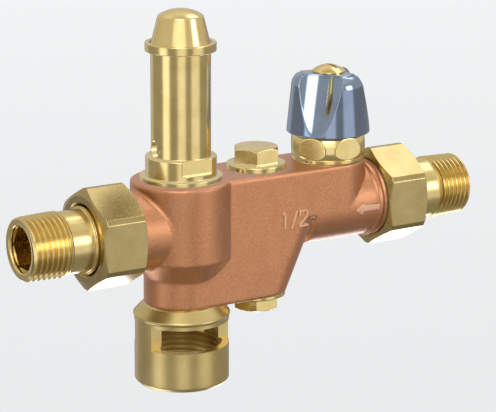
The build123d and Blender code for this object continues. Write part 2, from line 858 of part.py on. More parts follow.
with BuildPart() as shutoff_spindle:
    turn_upright(shutoff_x, [
        (0, holder_high + face_gap),
        (shutoff_spindle_radius, holder_high + face_gap),
        (shutoff_spindle_radius, headwork_peak + drive_step_height),
        (handle_drive_radius, headwork_peak + drive_step_height),
        (handle_drive_radius, handle_top - drive_cover),
        (0, handle_top - drive_cover),
    ])
    bore_upright(shutoff_x, screw_shank_radius, handle_top - screw_shank_length,
                 handle_top)


# Handle, a turned cone with a round shoulder and leaning flutes that run out at its rim

flute_lean_bottom = handle_radius + flute_radius
flute_lean_top = flute_top_depth + flute_radius

with BuildPart() as handle:
    with BuildSketch(upright(shutoff_x)):
        with BuildLine():
            Polyline(
                (handle_top_radius, handle_top),
                (0, handle_top),
                (0, handle_bottom),
                (handle_radius - handle_edge_round, handle_bottom),
                (handle_radius, handle_bottom + handle_edge_round),
                (handle_waist_radius, handle_bottom + handle_waist),
            )
            ThreePointArc(
                (handle_waist_radius, handle_bottom + handle_waist),
                (handle_shoulder_radius, handle_bottom + handle_shoulder),
                (handle_top_radius, handle_top),
            )
        make_face()
    revolve(axis=Axis((shutoff_x, 0, 0), (0, 0, 1)))
    for flute in range(flute_count):
        angle = math.radians(flute_start_angle + 360 * flute / flute_count)
        for height, reach in ((handle_bottom, flute_lean_bottom), (handle_top, flute_lean_top)):
            with BuildSketch(Plane.XY.offset(height)):
                with Locations((shutoff_x + reach * math.cos(angle), reach * math.sin(angle))):
                    Circle(flute_radius)
        loft(ruled=True, mode=Mode.SUBTRACT)
    bore_upright(shutoff_x, skirt_radius, handle_bottom, handle_bottom + skirt_depth)
    bore_upright(shutoff_x, handle_hollow_radius, handle_bottom,
                 handle_bottom + handle_hollow_depth)
    bore_upright(shutoff_x, handle_drive_radius, handle_bottom, handle_top - drive_cover)
    bore_upright(shutoff_x, screw_shank_radius, handle_bottom, handle_top)

with BuildPart() as handle_screw:
    with BuildSketch(upright(shutoff_x)):
        with BuildLine():
            Polyline(
                (0, handle_top + screw_head_height),
                (0, handle_top - screw_shank_length),
                (screw_shank_radius, handle_top - screw_shank_length),
                (screw_shank_radius, handle_top),
                (screw_head_radius, handle_top),
                (screw_head_radius, handle_top + screw_head_rim),
            )
            TangentArc(
                (0, handle_top + screw_head_height),
                (screw_head_radius, handle_top + screw_head_rim),
                tangent=(1, 0),
                tangent_from_first=True,
            )
        make_face()
    revolve(axis=Axis((shutoff_x, 0, 0), (0, 0, 1)))
    slot_place = (shutoff_x, 0, handle_top + screw_head_height)
    with Locations(Location(slot_place, (0, 0, screw_slot_angle))):
        Box(screw_slot_length, screw_slot_width, 2 * screw_slot_depth, mode=Mode.SUBTRACT)


# Discharge funnel

funnel_top = -body_bottom
funnel_rim = funnel_top - funnel_cone_height
funnel_bottom = funnel_top - funnel_height
window_high = funnel_top - window_top
window_low = window_high - window_height

with BuildPart() as discharge_funnel:
    turn_upright(relief_x, [
        (drain_radius, funnel_top + funnel_spigot_length),
        (funnel_spigot_radius, funnel_top + funnel_spigot_length),
        (funnel_spigot_radius, funnel_top),
        (funnel_top_radius, funnel_top),
        (funnel_rim_radius, funnel_rim),
        (funnel_rim_radius, funnel_bottom + funnel_bottom_chamfer),
        (funnel_rim_radius - funnel_bottom_chamfer, funnel_bottom),
        (waste_thread_radius, funnel_bottom),
        (waste_thread_radius, funnel_top - funnel_roof),
        (drain_radius, funnel_top - funnel_roof),
    ])
    for side in (-1, 1):
        window_cut = funnel_rim_radius
        with Locations((relief_x, side * (window_half_depth + window_cut / 2),
                        (window_low + window_high) / 2)):
            Box(3 * funnel_rim_radius, window_cut, window_height, mode=Mode.SUBTRACT)


pieces = {
    "valve_body": valve_body,
    "outlet_tailpiece": outlet_tailpiece,
    "outlet_union_nut": outlet_union_nut,
    "outlet_gasket": outlet_gasket,
    "inlet_tailpiece": inlet_tailpiece,
    "inlet_union_nut": inlet_union_nut,
    "inlet_gasket": inlet_gasket,
    "relief_bonnet": relief_bonnet,
    "relief_seal": relief_seal,
    "relief_disc": relief_disc,
    "relief_diaphragm": relief_diaphragm,
    "spring_plate": spring_plate,
    "relief_spring": relief_spring,
    "adjusting_ring": adjusting_ring,
    "relief_spindle": relief_spindle,
    "lifting_cap": lifting_cap,
    "top_plug": top_plug,
    "top_plug_seal": top_plug_seal,
    "bottom_plug": bottom_plug,
    "bottom_plug_seal": bottom_plug_seal,
    "check_poppet": check_poppet,
    "check_seal": check_seal,
    "check_spring": check_spring,
    "headwork": headwork,
    "spindle_packing": spindle_packing,
    "shutoff_washer": shutoff_washer,
    "disc_holder": disc_holder,
    "shutoff_spindle": shutoff_spindle,
    "handle": handle,
    "handle_screw": handle_screw,
    "discharge_funnel": discharge_funnel,
}

for node_name, piece in pieces.items():
    piece.part.label = node_name
    export_step(piece.part, f"parts/{node_name}.step")
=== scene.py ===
import json
import math

import bmesh
import bpy
import numpy as np
from bpy.props import FloatProperty, FloatVectorProperty, IntProperty, PointerProperty
from mathutils import Matrix, Vector


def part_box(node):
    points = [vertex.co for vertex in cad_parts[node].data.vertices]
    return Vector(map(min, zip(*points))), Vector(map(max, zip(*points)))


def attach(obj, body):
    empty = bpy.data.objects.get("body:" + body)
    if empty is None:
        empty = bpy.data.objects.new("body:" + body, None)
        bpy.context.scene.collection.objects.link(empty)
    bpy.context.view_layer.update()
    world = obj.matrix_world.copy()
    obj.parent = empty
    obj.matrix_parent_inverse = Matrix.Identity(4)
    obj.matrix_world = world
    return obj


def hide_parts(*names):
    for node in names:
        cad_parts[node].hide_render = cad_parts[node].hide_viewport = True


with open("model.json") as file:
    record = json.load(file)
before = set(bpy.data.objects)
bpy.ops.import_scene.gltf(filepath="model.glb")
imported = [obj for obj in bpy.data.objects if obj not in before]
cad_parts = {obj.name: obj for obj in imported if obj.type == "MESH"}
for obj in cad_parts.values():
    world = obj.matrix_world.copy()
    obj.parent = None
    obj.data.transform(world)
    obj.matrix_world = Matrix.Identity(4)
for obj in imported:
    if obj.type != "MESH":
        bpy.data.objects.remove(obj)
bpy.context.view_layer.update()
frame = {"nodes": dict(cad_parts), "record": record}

bl_info = {
    "name": "Water Heater Safety Valve",
    "version": (1, 0, 0),
    "blender": (4, 5, 0),
    "location": "3D View > Sidebar > Safety Valve",
    "description": "Dresses the packed safety valve with threads, soft castings, finishes and a studio",
    "category": "Add Mesh",
}

MM = 0.001
TURN = 2 * math.pi


def middle_x(node):
    """The X of the middle of a CAD node's box."""
    low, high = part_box(node)
    return (low.x + high.x) / 2


RELIEF_X = middle_x("relief_bonnet")
PLUG_X = middle_x("top_plug")
SHUTOFF_X = middle_x("handle")
OUTLET_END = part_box("outlet_tailpiece")[0].x
INLET_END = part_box("inlet_tailpiece")[1].x
TAIL_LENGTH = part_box("outlet_tailpiece")[1].x - OUTLET_END
BODY_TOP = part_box("valve_body")[1].z
BODY_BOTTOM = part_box("valve_body")[0].z
BONNET_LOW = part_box("relief_bonnet")[0].z
BONNET_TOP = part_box("relief_bonnet")[1].z
CAP_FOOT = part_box("lifting_cap")[0].z
CAP_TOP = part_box("lifting_cap")[1].z
TOP_PLUG_LOW, TOP_PLUG_HIGH = (corner.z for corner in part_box("top_plug"))
BOTTOM_PLUG_LOW, BOTTOM_PLUG_HIGH = (corner.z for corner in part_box("bottom_plug"))
HEADWORK_LOW, HEADWORK_HIGH = (corner.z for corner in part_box("headwork"))
HANDLE_LOW, HANDLE_HIGH = (corner.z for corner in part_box("handle"))
SCREW_LOW, SCREW_HIGH = (corner.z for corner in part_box("handle_screw"))
FUNNEL_LOW, FUNNEL_HIGH = (corner.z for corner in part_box("discharge_funnel"))
OUTLET_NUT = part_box("outlet_union_nut")
INLET_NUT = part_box("inlet_union_nut")


# Settings that a user would change

def length(label, description, millimetres):
    """A size in the scene's metres, given in millimetres."""
    return FloatProperty(name=label, description=description, default=millimetres * MM, unit="LENGTH")


def angle(label, description, degrees):
    """An angle, given in degrees."""
    return FloatProperty(name=label, description=description, default=math.radians(degrees),
                         subtype="ANGLE")


def colour(label, description, default):
    """A linear colour."""
    return FloatVectorProperty(name=label, description=description, default=default,
                               subtype="COLOR", min=0.0)


class TailpieceSizes(bpy.types.PropertyGroup):
    """The threaded tailpiece of each union"""
    gauge_radius: length("Gauge radius", "Thread radius at the gauge plane", 10.48)
    gauge_depth: length("Gauge depth", "Gauge plane's distance from the open end", 6.0)
    pitch: length("Pitch", "Distance between two crests, fourteen to the inch", 1.814)
    depth: length("Thread depth", "Height of the thread from root to crest", 1.162)
    lead_radius: length("Lead radius", "Radius of the end face's rim", 9.6)
    lead_slope: FloatProperty(name="Lead slope", description="The lead's widening per length", default=1.1)
    thread_end: length("Thread end", "Where the last groove has run out", 14.3)
    neck_radius: length("Neck radius", "Plain neck behind the thread", 10.15)
    hub_radius: length("Hub radius", "Thicker part inside the nut's hole", 11.0)
    hub_start: length("Hub start", "Neck's shoulder, from the open end", 21.7)
    collar_radius: length("Collar radius", "Collar that the nut pulls on", 12.6)
    collar: length("Collar thickness", "Thickness of the collar", 3.0)
    bore_radius: length("Bore radius", "Round mouth of the bore", 7.5)
    key_flats: length("Key across flats", "Hexagonal key hole inside the mouth", 13.2)
    key_start: length("Key start", "Depth of the round mouth", 1.6)
    key_end: length("Key end", "Depth where the key hole turns round again", 16.0)


class NutSizes(bpy.types.PropertyGroup):
    """The union nuts"""
    flats: length("Across flats", "Width over two opposite flats", 30.0)
    corner_radius: length("Corner radius", "Radius that the corners are turned to", 16.8)
    face_radius: length("Face radius", "Flat ring of each end face", 14.1)
    chamfer: length("Chamfer depth", "Length of the chamfer along the axis", 1.15)
    hole_radius: length("Hole radius", "Hole around the tailpiece's hub", 11.35)
    hole_mouth: length("Hole mouth", "Width and depth of the hole's chamfer", 0.8)
    bore_radius: length("Bore radius", "Threaded bore over the spud", 13.05)
    shoulder: length("Shoulder", "Thickness of the wall around the hole", 3.2)


class ReliefSizes(bpy.types.PropertyGroup):
    """The relief valve's bonnet and lifting cap"""
    thread_radius: length("Thread radius", "Bonnet's screwed foot", 12.6)
    flange_radius: length("Flange radius", "Flange on the casting", 13.5)
    flange: length("Flange thickness", "Thickness of the flange", 1.4)
    base_radius: length("Base radius", "Wide base above the flange", 11.55)
    base_height: length("Base height", "Height of the base", 6.4)
    flats: length("Across flats", "Width over the two spanner flats", 20.2)
    flat_foot: length("Flat foot", "Height of the flats' foot above the flange", 1.4)
    foot_radius: length("Foot radius", "Fillet at the flats' foot", 0.6)
    tube_radius: length("Tube radius", "Outside of the spring tube", 9.7)
    ring_radius: length("Ring radius", "Top ring around the cap", 11.5)
    ring_height: length("Ring height", "Height of the top ring", 2.9)
    bore_radius: length("Bore radius", "Inside of the spring tube", 8.0)
    recess_radius: length("Recess radius", "Recess that the cap stands in", 10.1)
    recess_depth: length("Recess depth", "Depth of the cap's recess", 1.4)
    vent_radius: length("Vent radius", "Vent hole through the tube", 2.75)
    vent_height: length("Vent height", "Vent's middle above the base", 2.8)
    cap_foot_radius: length("Cap foot radius", "Foot of the lifting cap", 9.75)
    cap_shoulder_radius: length("Cap shoulder radius", "Upper end of the cap's slope", 7.35)
    cap_dome: length("Cap dome", "Height of the cap's dome", 2.2)
    cap_hollow_radius: length("Cap hollow radius", "Hollow under the cap", 6.4)
    cap_hollow: length("Cap hollow height", "Height of the hollow under the cap", 3.0)


class PlugSizes(bpy.types.PropertyGroup):
    """The two plugs of the check valve chamber"""
    disc_radius: length("Disc radius", "Round disc under the hexagon", 9.9)
    disc: length("Disc thickness", "Thickness of the disc", 1.9)
    flats: length("Across flats", "Width over the hexagon's flats", 14.0)
    crown_radius: length("Crown radius", "Turned circle on the hexagon's end", 6.95)
    top_thread_radius: length("Top thread radius", "Screwed part of the top plug", 8.2)
    top_hollow_radius: length("Top hollow radius", "Hollow inside the top plug", 6.4)
    top_hollow: length("Top hollow depth", "Depth of the top plug's hollow", 6.0)
    bottom_thread_radius: length("Bottom thread radius", "Screwed part of the bottom plug", 4.9)
    bottom_hollow: length("Bottom hollow", "Depth of the bottom plug's hollow", 0.2)
    foot_radius: length("Foot radius", "Fillet where the flats meet the disc", 0.7)
    crown_slope: FloatProperty(name="Crown slope", description="Rise of the crown's chamfer per width",
                               default=1.8)


class HeadworkSizes(bpy.types.PropertyGroup):
    """The turned head of the shut-off valve"""
    thread_radius: length("Thread radius", "Screwed foot of the headwork", 9.4)
    ring_radius: length("Ring radius", "Ring on the casting", 12.2)
    ring_height: length("Ring height", "Height of the ring", 1.3)
    bulge_radius: length("Bulge radius", "Widest radius of the bulge", 13.1)
    bulge_section: length("Bulge section", "Radius of the bulge's section", 4.6)
    bulge_height: length("Bulge height", "Widest place above the casting", 4.3)
    bulge_stretch: FloatProperty(name="Bulge stretch", description="Upper half's height over its depth",
                                 default=1.5)
    bulge_end: angle("Bulge end", "Where the bulge's section ends, above level", 45)
    neck_rise: length("Neck rise", "Height of the slope from the bulge to the neck", 0.5)
    flats: length("Across flats", "Width over two opposite oval flats", 24.2)
    neck_radius: length("Neck radius", "Neck that goes up into the handle", 8.0)
    well_radius: length("Well radius", "Well that the disc holder rises into", 7.0)
    stem_radius: length("Stem hole radius", "Hole for the spindle", 4.05)
    well_height: length("Well height", "Top of the well above the casting's middle", 12.15)


class HandleSizes(bpy.types.PropertyGroup):
    """The fluted handle and its screw"""
    rim_radius: length("Rim radius", "Radius at the lower rim", 14.0)
    waist_radius: length("Waist radius", "Radius where the straight wall ends", 12.55)
    waist: length("Waist height", "Height of the waist above the rim", 15.0)
    shoulder_radius: length("Shoulder radius", "A point of the rounded shoulder", 11.7)
    shoulder: length("Shoulder height", "Height of that point above the rim", 18.2)
    top_radius: length("Top radius", "Radius of the flat top", 9.6)
    flute_radius: length("Flute radius", "Radius of the hollow flutes", 11.5)
    flute_depth: length("Flute depth", "Axis to the flute's floor at the top", 5.7)
    flutes: IntProperty(name="Flutes", description="Number of flutes", default=3, min=1)
    flute_angle: angle("Flute angle", "Angle of the first flute", -140)
    flute_edge: length("Flute edge", "Width of the flutes' soft edges", 0.25)
    top_edge: length("Top edge", "Rounding of the top's edge", 0.5)
    skirt_radius: length("Skirt radius", "Inside of the lower rim", 12.4)
    skirt: length("Skirt depth", "Depth of the wide part of the hollow", 1.8)
    hollow_radius: length("Hollow radius", "Inside of the deeper hollow", 9.0)
    hollow: length("Hollow depth", "Depth of the hollow", 8.0)
    screw_radius: length("Screw head radius", "Radius of the domed head", 5.5)
    screw_rim: length("Screw head rim", "Straight rim of the head", 0.4)
    shank_radius: length("Shank radius", "Radius of the screw's shank", 2.0)
    slot_length: length("Slot length", "Length of the screw's slot", 9.0)
    slot_width: length("Slot width", "Width of the screw's slot", 0.9)
    slot_angle: angle("Slot angle", "Turn of the screw's slot", -80)


class FunnelSizes(bpy.types.PropertyGroup):
    """The discharge funnel"""
    spigot_radius: length("Spigot radius", "Screwed spigot inside the casting", 8.0)
    top_radius: length("Top radius", "Top of the cone", 12.9)
    rim_radius: length("Rim radius", "Widest edge below the cone", 15.9)
    wall_radius: length("Wall radius", "Outside of the wall below the rim", 15.55)
    cone: length("Cone height", "Height of the cone", 3.2)
    rim_edge: length("Rim edge", "Straight part of the widest edge", 0.5)
    rim_slope: length("Rim slope", "Height of the slope from that edge to the wall", 0.5)
    chamfer: length("Bottom chamfer", "Chamfer of the lower edge", 1.3)
    roof: length("Roof", "Thickness of the roof below the top face", 4.8)
    bore_radius: length("Bore radius", "Crests of the inner thread", 12.06)
    pitch: length("Pitch", "Distance between two crests of the inner thread", 1.814)
    depth: length("Thread depth", "Height of the inner thread", 1.162)
    drain_radius: length("Drain radius", "Hole through the roof", 5.0)
    window_top: length("Window top", "Window's upper edge below the top face", 5.5)
    window_height: length("Window height", "Height of both windows", 7.9)
    window_depth: length("Window depth", "Half the wall left between the windows", 5.4)
    thread_gap: length("Thread gap", "From the end of the thread to the roof", 0.4)
    mouth_gap: length("Mouth gap", "Between the thread's roots and the mouth's rim", 0.1)


class CastingSizes(bpy.types.PropertyGroup):
    """The casting's softness and its raised marks"""
    voxel: length("Voxel", "Grid on which the casting's edges are softened", 0.48)
    softening: IntProperty(name="Softening", description="Rounds of smoothing", default=2, min=0)
    tube_radius: length("Tube radius", "Round tube at the inlet end", 12.4)
    lip_radius: length("Lip radius", "Raised lip before the inlet spud", 13.05)
    lip_start: length("Lip start", "Lip's distance from the shut-off axis", 12.6)
    lip_width: length("Lip width", "Width of the lip", 1.65)
    lip_edge: length("Lip edge", "Rounding of the lip's edges", 0.2)
    arrow_tip: length("Arrow tip", "Arrow's tip, from the shut-off axis", 3.25)
    arrow_head: length("Arrow head", "Length of the arrow's head", 2.85)
    arrow_length: length("Arrow length", "Whole length of the arrow", 9.5)
    arrow_head_half: length("Head half height", "Half the height of the arrow's head", 1.95)
    arrow_shaft_half: length("Shaft half height", "Half the height of the arrow's shaft", 1.05)
    arrow_height: length("Arrow middle", "Arrow's middle above the pipe axis", -0.4)
    mark_rise: length("Rise", "How far the marks stand out", 0.5)
    stroke: length("Stroke", "Width of the size mark's strokes", 0.62)


class FinishColours(bpy.types.PropertyGroup):
    """Linear base colours of the finishes"""
    bronze_dark: colour("Bronze, dark", "Darker grains of the casting", (0.53, 0.218, 0.09))
    bronze: colour("Bronze", "Most of the casting", (0.62, 0.262, 0.11))
    bronze_light: colour("Bronze, light", "Lighter grains of the casting", (0.72, 0.335, 0.155))
    brass_dark: colour("Brass, dark", "Darker clouds of the brass", (0.77, 0.57, 0.222))
    brass: colour("Brass", "Most of the brass", (0.83, 0.62, 0.248))
    brass_light: colour("Brass, light", "Lighter clouds of the brass", (0.88, 0.675, 0.285))
    chrome: colour("Chrome", "Plating of the handle", (0.31, 0.37, 0.46))
    chrome_dark: colour("Chrome, dark", "Clouds in the plating", (0.27, 0.325, 0.41))
    mark: colour("Mark", "Raised marks, worn bright", (0.86, 0.50, 0.30))
    rubber: colour("Rubber", "Seals", (0.02, 0.02, 0.022))
    fibre: colour("Fibre", "Gaskets", (0.26, 0.06, 0.03))
    plastic: colour("Plastic", "Check valve's poppet", (0.72, 0.72, 0.68))
    steel: colour("Steel", "Springs", (0.55, 0.56, 0.58))


class StudioSettings(bpy.types.PropertyGroup):
    """Camera, floor and light"""
    azimuth: angle("Azimuth", "Camera's heading, from +Y towards +X", 32.199)
    elevation: angle("Elevation", "How far the camera looks down", 14.56)
    roll: angle("Roll", "Camera's roll", 0.219)
    lens: FloatProperty(name="Lens", description="Focal length on a 36 mm wide sensor, in mm",
                        default=164.77)
    place: FloatVectorProperty(name="Camera place", description="Camera's location",
                               default=(-0.30265, -0.61398, 0.19126), subtype="TRANSLATION")
    backdrop: colour("Backdrop", "What the camera sees behind the valve", (0.838, 0.846, 0.846))
    panel_colour: colour("Panels", "Cool colour of the bright panels", (0.95, 1.0, 1.12))
    glow_near: FloatProperty(name="Near glow", description="Floor's share of the backdrop's colour, near",
                             default=0.665)
    glow_far: FloatProperty(name="Far glow", description="The same share far behind the valve",
                            default=0.755)
    floor_height: FloatProperty(name="Floor height", description="Height of the floor",
                                default=-0.35, unit="LENGTH")
    floor_reach: FloatProperty(name="Floor reach", description="Half the floor's width",
                               default=6.0, unit="LENGTH")
    key: FloatProperty(name="Key light", description="Power of the soft key light, in watts",
                       default=1.5)
    key_size: FloatProperty(name="Key size", description="Width of the key light",
                            default=0.7, unit="LENGTH")
    key_place: FloatVectorProperty(name="Key place", description="Key light's location",
                                   default=(-0.5, -0.6, 1.1), subtype="TRANSLATION")


class ValveSettings(bpy.types.PropertyGroup):
    """All the settings of the valve"""
    tailpiece: PointerProperty(name="Tailpieces", description="Union tailpieces", type=TailpieceSizes)
    nut: PointerProperty(name="Nuts", description="Union nuts", type=NutSizes)
    relief: PointerProperty(name="Relief valve", description="Bonnet and cap", type=ReliefSizes)
    plug: PointerProperty(name="Plugs", description="Check valve's plugs", type=PlugSizes)
    headwork: PointerProperty(name="Headwork", description="Shut-off head", type=HeadworkSizes)
    handle: PointerProperty(name="Handle", description="Handle and screw", type=HandleSizes)
    funnel: PointerProperty(name="Funnel", description="Discharge funnel", type=FunnelSizes)
    casting: PointerProperty(name="Casting", description="Casting and marks", type=CastingSizes)
    colours: PointerProperty(name="Colours", description="Base colours", type=FinishColours)
    studio: PointerProperty(name="Studio", description="Camera, floor and light", type=StudioSettings)


# Outlines and grids

FINE_STEP = 0.15 * MM
COARSE_STEP = 1.2 * MM
LONG_RUN = 6.0 * MM
SOFT_BLEND = 0.14 * MM
MERGE = 0.001 * MM
LINES_PER_THREAD = 16
SHARP_ANGLE = math.radians(38)
# A radius that no piece reaches, and half the gap between the two rows where a milled flat starts
NO_LIMIT = 1.0
HALF_GAP = 0.005 * MM
# Steps in one turn, by how finely a piece needs them
DRILL_STEPS = 64
SCREW_STEPS = 128
LIP_STEPS = 180
CAP_STEPS = 192
FLAT_STEPS = 240
THREAD_STEPS = 288
OVAL_STEPS = 480
HANDLE_STEPS = 540
# Points along an outline's curve
CORNER_STEPS = 5
DOME_STEPS = 28
BULGE_STEPS = 60
WALL_STEPS = 70
SHOULDER_STEPS = 40
EDGE_STEPS = 7
TOP_STEPS = 8
# The largest share of a run that a rounded corner may take
CORNER_SHARE = 0.45
# Half the angle around a mark that gets closer steps, in degrees, and how many of them
MARK_REACH = 1.2
MARK_STEPS = 9


def soft_least(first, second, blend=SOFT_BLEND):
    """The lesser of two arrays. Where they cross, a parabola `blend` wide joins them."""
    share = np.clip(0.5 + 0.5 * (second - first) / blend, 0, 1)
    return second + (first - second) * share - blend * share * (1 - share)


def smooth_step(share):
    """0 up to 0, 1 from 1 on, and 3t^2 - 2t^3 between them."""
    share = np.clip(share, 0, 1)
    return share * share * (3 - 2 * share)


def rounded(points, reach, closed=False, steps=CORNER_STEPS):
    """An outline with each corner turned into a parabola that starts and ends `reach` millimetres away
    from it, (1-s)^2 a + 2s(1-s) corner + s^2 b. An open outline keeps its two ends."""
    points = np.asarray(points, float)
    if closed:
        before, corner, after = np.roll(points, 1, 0), points, np.roll(points, -1, 0)
    else:
        before, corner, after = points[:-2], points[1:-1], points[2:]
    reach = np.reshape(reach, (-1, 1)) * MM

    def leg(other):
        """The point `reach` from the corner towards another one, at most CORNER_SHARE of the way."""
        away = other - corner
        size = np.linalg.norm(away, axis=1, keepdims=True)
        return corner + away * np.minimum(reach / size, CORNER_SHARE)

    share = np.linspace(0, 1, steps + 1)[None, :, None]
    curve = ((1 - share) ** 2 * leg(before)[:, None]
             + 2 * share * (1 - share) * corner[:, None]
             + share ** 2 * leg(after)[:, None]).reshape(-1, 2)
    return curve if closed else np.vstack([points[:1], curve, points[-1:]])


def divided(outline, closed=False):
    """An outline with points added along its runs: close together on short runs, wide on long ones."""
    if closed:
        outline = np.vstack([outline, outline[:1]])
    moves = np.diff(outline, axis=0)
    lengths = np.linalg.norm(moves, axis=1)
    step = np.where(lengths > LONG_RUN, COARSE_STEP, FINE_STEP)
    counts = np.maximum(1, np.ceil(lengths / step)).astype(int)
    first = np.repeat(np.cumsum(counts) - counts, counts)
    share = (np.arange(counts.sum()) - first) / np.repeat(counts, counts)
    inner = np.repeat(outline[:-1], counts, axis=0) + np.repeat(moves, counts, axis=0) * share[:, None]
    return inner if closed else np.vstack([inner, outline[-1:]])


def full_turn(count, marks=()):
    """Angles of one turn, evenly spaced, with closer ones on both sides of each mark (in degrees)."""
    even = np.linspace(0, 360, count + 1)
    close = np.linspace(-MARK_REACH, MARK_REACH, MARK_STEPS)
    near = (np.reshape(np.asarray(marks, float), (-1, 1)) + close).ravel() % 360
    return np.radians(np.unique(np.round(np.concatenate([even, near]), 4)))


def flats(apothem, first_degrees, count):
    """Distance from the axis to a ring of flats: the apothem over the cosine of the angle from the
    middle of the nearest flat."""
    step = TURN / count
    first = math.radians(first_degrees)
    return lambda turn: apothem / np.cos((turn - first + step / 2) % step - step / 2)


def upright(x, radius, along, turn):
    """Points at radius and turn around the vertical axis at x, `along` up."""
    return np.stack([x + radius * np.cos(turn), radius * np.sin(turn), along + 0 * turn], axis=-1)


def level(radius, along, turn):
    """Points at radius and turn around the pipe axis, `along` in X."""
    return np.stack([along + 0 * turn, radius * np.cos(turn), radius * np.sin(turn)], axis=-1)


def carried(outline, angles, limit=None):
    """An outline of (radius, along) carried round by the angles. Its radius is softly held under
    limit(turn, along). Returns radius, along and turn as grids."""
    radius = np.repeat(outline[:, :1], len(angles), axis=1)
    along = np.repeat(outline[:, 1:], len(angles), axis=1)
    turn = np.repeat(angles[None, :], len(outline), axis=0)
    if limit is not None:
        radius = soft_least(radius, limit(turn, along))
    return radius, along, turn


def turned(name, x, outline, angles, limit=None, closed=False):
    """A mesh from an outline turned about the vertical axis at x."""
    return skin(name, [(upright(x, *carried(outline, angles, limit)), closed)])


def dome_rows(radius, rise, top, start):
    """A dome's outline, from `start` times its radius to the axis, on the circle through rim and top."""
    ball = (radius ** 2 + rise ** 2) / (2 * rise)
    across = np.linspace(radius * start, 0, DOME_STEPS)
    return np.stack([across, top - ball + np.sqrt(ball ** 2 - across ** 2)], axis=1)


def thread_lines(start, end, pitch, angles):
    """A grid whose lines follow a right-hand helix, held between start and end:
    along = start + pitch (line + angle / full turn). Returns along and the phase in the thread."""
    lines = np.arange(-LINES_PER_THREAD, math.ceil((end - start) / pitch) * LINES_PER_THREAD + 1)
    share = angles[None, :] / TURN
    along = np.clip(start + pitch * (lines[:, None] / LINES_PER_THREAD + share), start, end)
    return along, ((along - start) / pitch - share) % 1.0


def tooth(phase):
    """0 at the crest and 1 at the root of a thread, each with a flat of an eighth of the pitch."""
    return np.clip((1 - np.abs(2 * phase - 1)) * 4 / 3 - 1 / 6, 0, 1)


# Meshes

def skin(name, grids):
    """One closed mesh from grids of points. Neighbours in a grid make faces with four sides, a grid
    marked closed also joins its last row to its first, and coinciding points are merged."""
    points, faces, first = [], [], 0
    for grid, closed in grids:
        rows, columns = grid.shape[:2]
        index = first + np.arange(rows * columns).reshape(rows, columns)
        if closed:
            index = np.vstack([index, index[:1]])
        faces.append(np.stack([index[:-1, :-1], index[:-1, 1:], index[1:, 1:], index[1:, :-1]],
                              axis=-1).reshape(-1, 4))
        points.append(grid.reshape(-1, 3))
        first += rows * columns
    points, faces = np.concatenate(points), np.concatenate(faces)
    mesh = bpy.data.meshes.new(name)
    mesh.vertices.add(len(points))
    mesh.vertices.foreach_set("co", points.astype(np.float32).ravel())
    mesh.loops.add(faces.size)
    mesh.loops.foreach_set("vertex_index", faces.astype(np.int32).ravel())
    mesh.polygons.add(len(faces))
    mesh.polygons.foreach_set("loop_start", np.arange(0, faces.size, 4, dtype=np.int32))
    mesh.update(calc_edges=True)
    settle(mesh)
    return mesh


def settle(mesh):
    """Merges coinciding points, then turns the faces outwards and shades them smooth."""
    work = bmesh.new()
    work.from_mesh(mesh)
    bmesh.ops.remove_doubles(work, verts=work.verts, dist=MERGE)
    bmesh.ops.dissolve_degenerate(work, edges=work.edges, dist=MERGE / 4)
    bmesh.ops.recalc_face_normals(work, faces=work.faces)
    work.to_mesh(mesh)
    work.free()
    mesh.shade_smooth()
    mesh.set_sharp_from_angle(angle=SHARP_ANGLE)


def block(name, low, high, turn=0.0):
    """A box between two corners, turned about its upright middle. It is only used to cut with."""
    low, high = Vector(low), Vector(high)
    place = Matrix.Translation((low + high) / 2) @ Matrix.Rotation(turn, 4, "Z")
    mesh = bpy.data.meshes.new(name)
    work = bmesh.new()
    bmesh.ops.create_cube(work, size=1.0, matrix=place @ Matrix.Diagonal((*(high - low), 1.0)))
    work.to_mesh(mesh)
    work.free()
    return mesh


def cut(mesh, cutters):
    """The mesh with the cutters taken out of it, as a new mesh."""
    scene = bpy.context.scene
    target = bpy.data.objects.new("cut_target", mesh)
    scene.collection.objects.link(target)
    tools = []
    for cutter in cutters:
        tool = bpy.data.objects.new("cutter", cutter)
        scene.collection.objects.link(tool)
        change = target.modifiers.new("Cut", "BOOLEAN")
        change.operation, change.solver, change.object = "DIFFERENCE", "EXACT", tool
        tools.append(tool)
    done = taken(target)
    for tool in tools:
        bpy.data.objects.remove(tool)
    settle(done)
    return done


def taken(target):
    """The mesh of an object with its modifiers applied. The object is removed."""
    graph = bpy.context.evaluated_depsgraph_get()
    done = bpy.data.meshes.new_from_object(target.evaluated_get(graph))
    bpy.data.objects.remove(target)
    return done


def place_piece(name, mesh, body, finish, replaces=(), weighted=True, mirrored=True):
    """Puts a finished mesh into the scene as a piece that rides on a body. A piece that isn't mirrored
    is left out of mirror images, so that the faces beside it stay as light as in the photograph."""
    piece = bpy.data.objects.new(name, mesh)
    bpy.context.scene.collection.objects.link(piece)
    mesh.name = name
    mesh.materials.clear()
    mesh.materials.append(finish)
    if weighted:
        normals = piece.modifiers.new("Weighted normals", "WEIGHTED_NORMAL")
        normals.keep_sharp = True
    piece.visible_glossy = mirrored
    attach(piece, body)
    if replaces:
        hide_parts(*replaces)


# Finishes

CLOUD = 7.0 * MM
GROOVE = 0.3 * MM
SHADE_PLACES = (0.36, 0.5, 0.66)
COAT_ROUGHNESS = 0.4


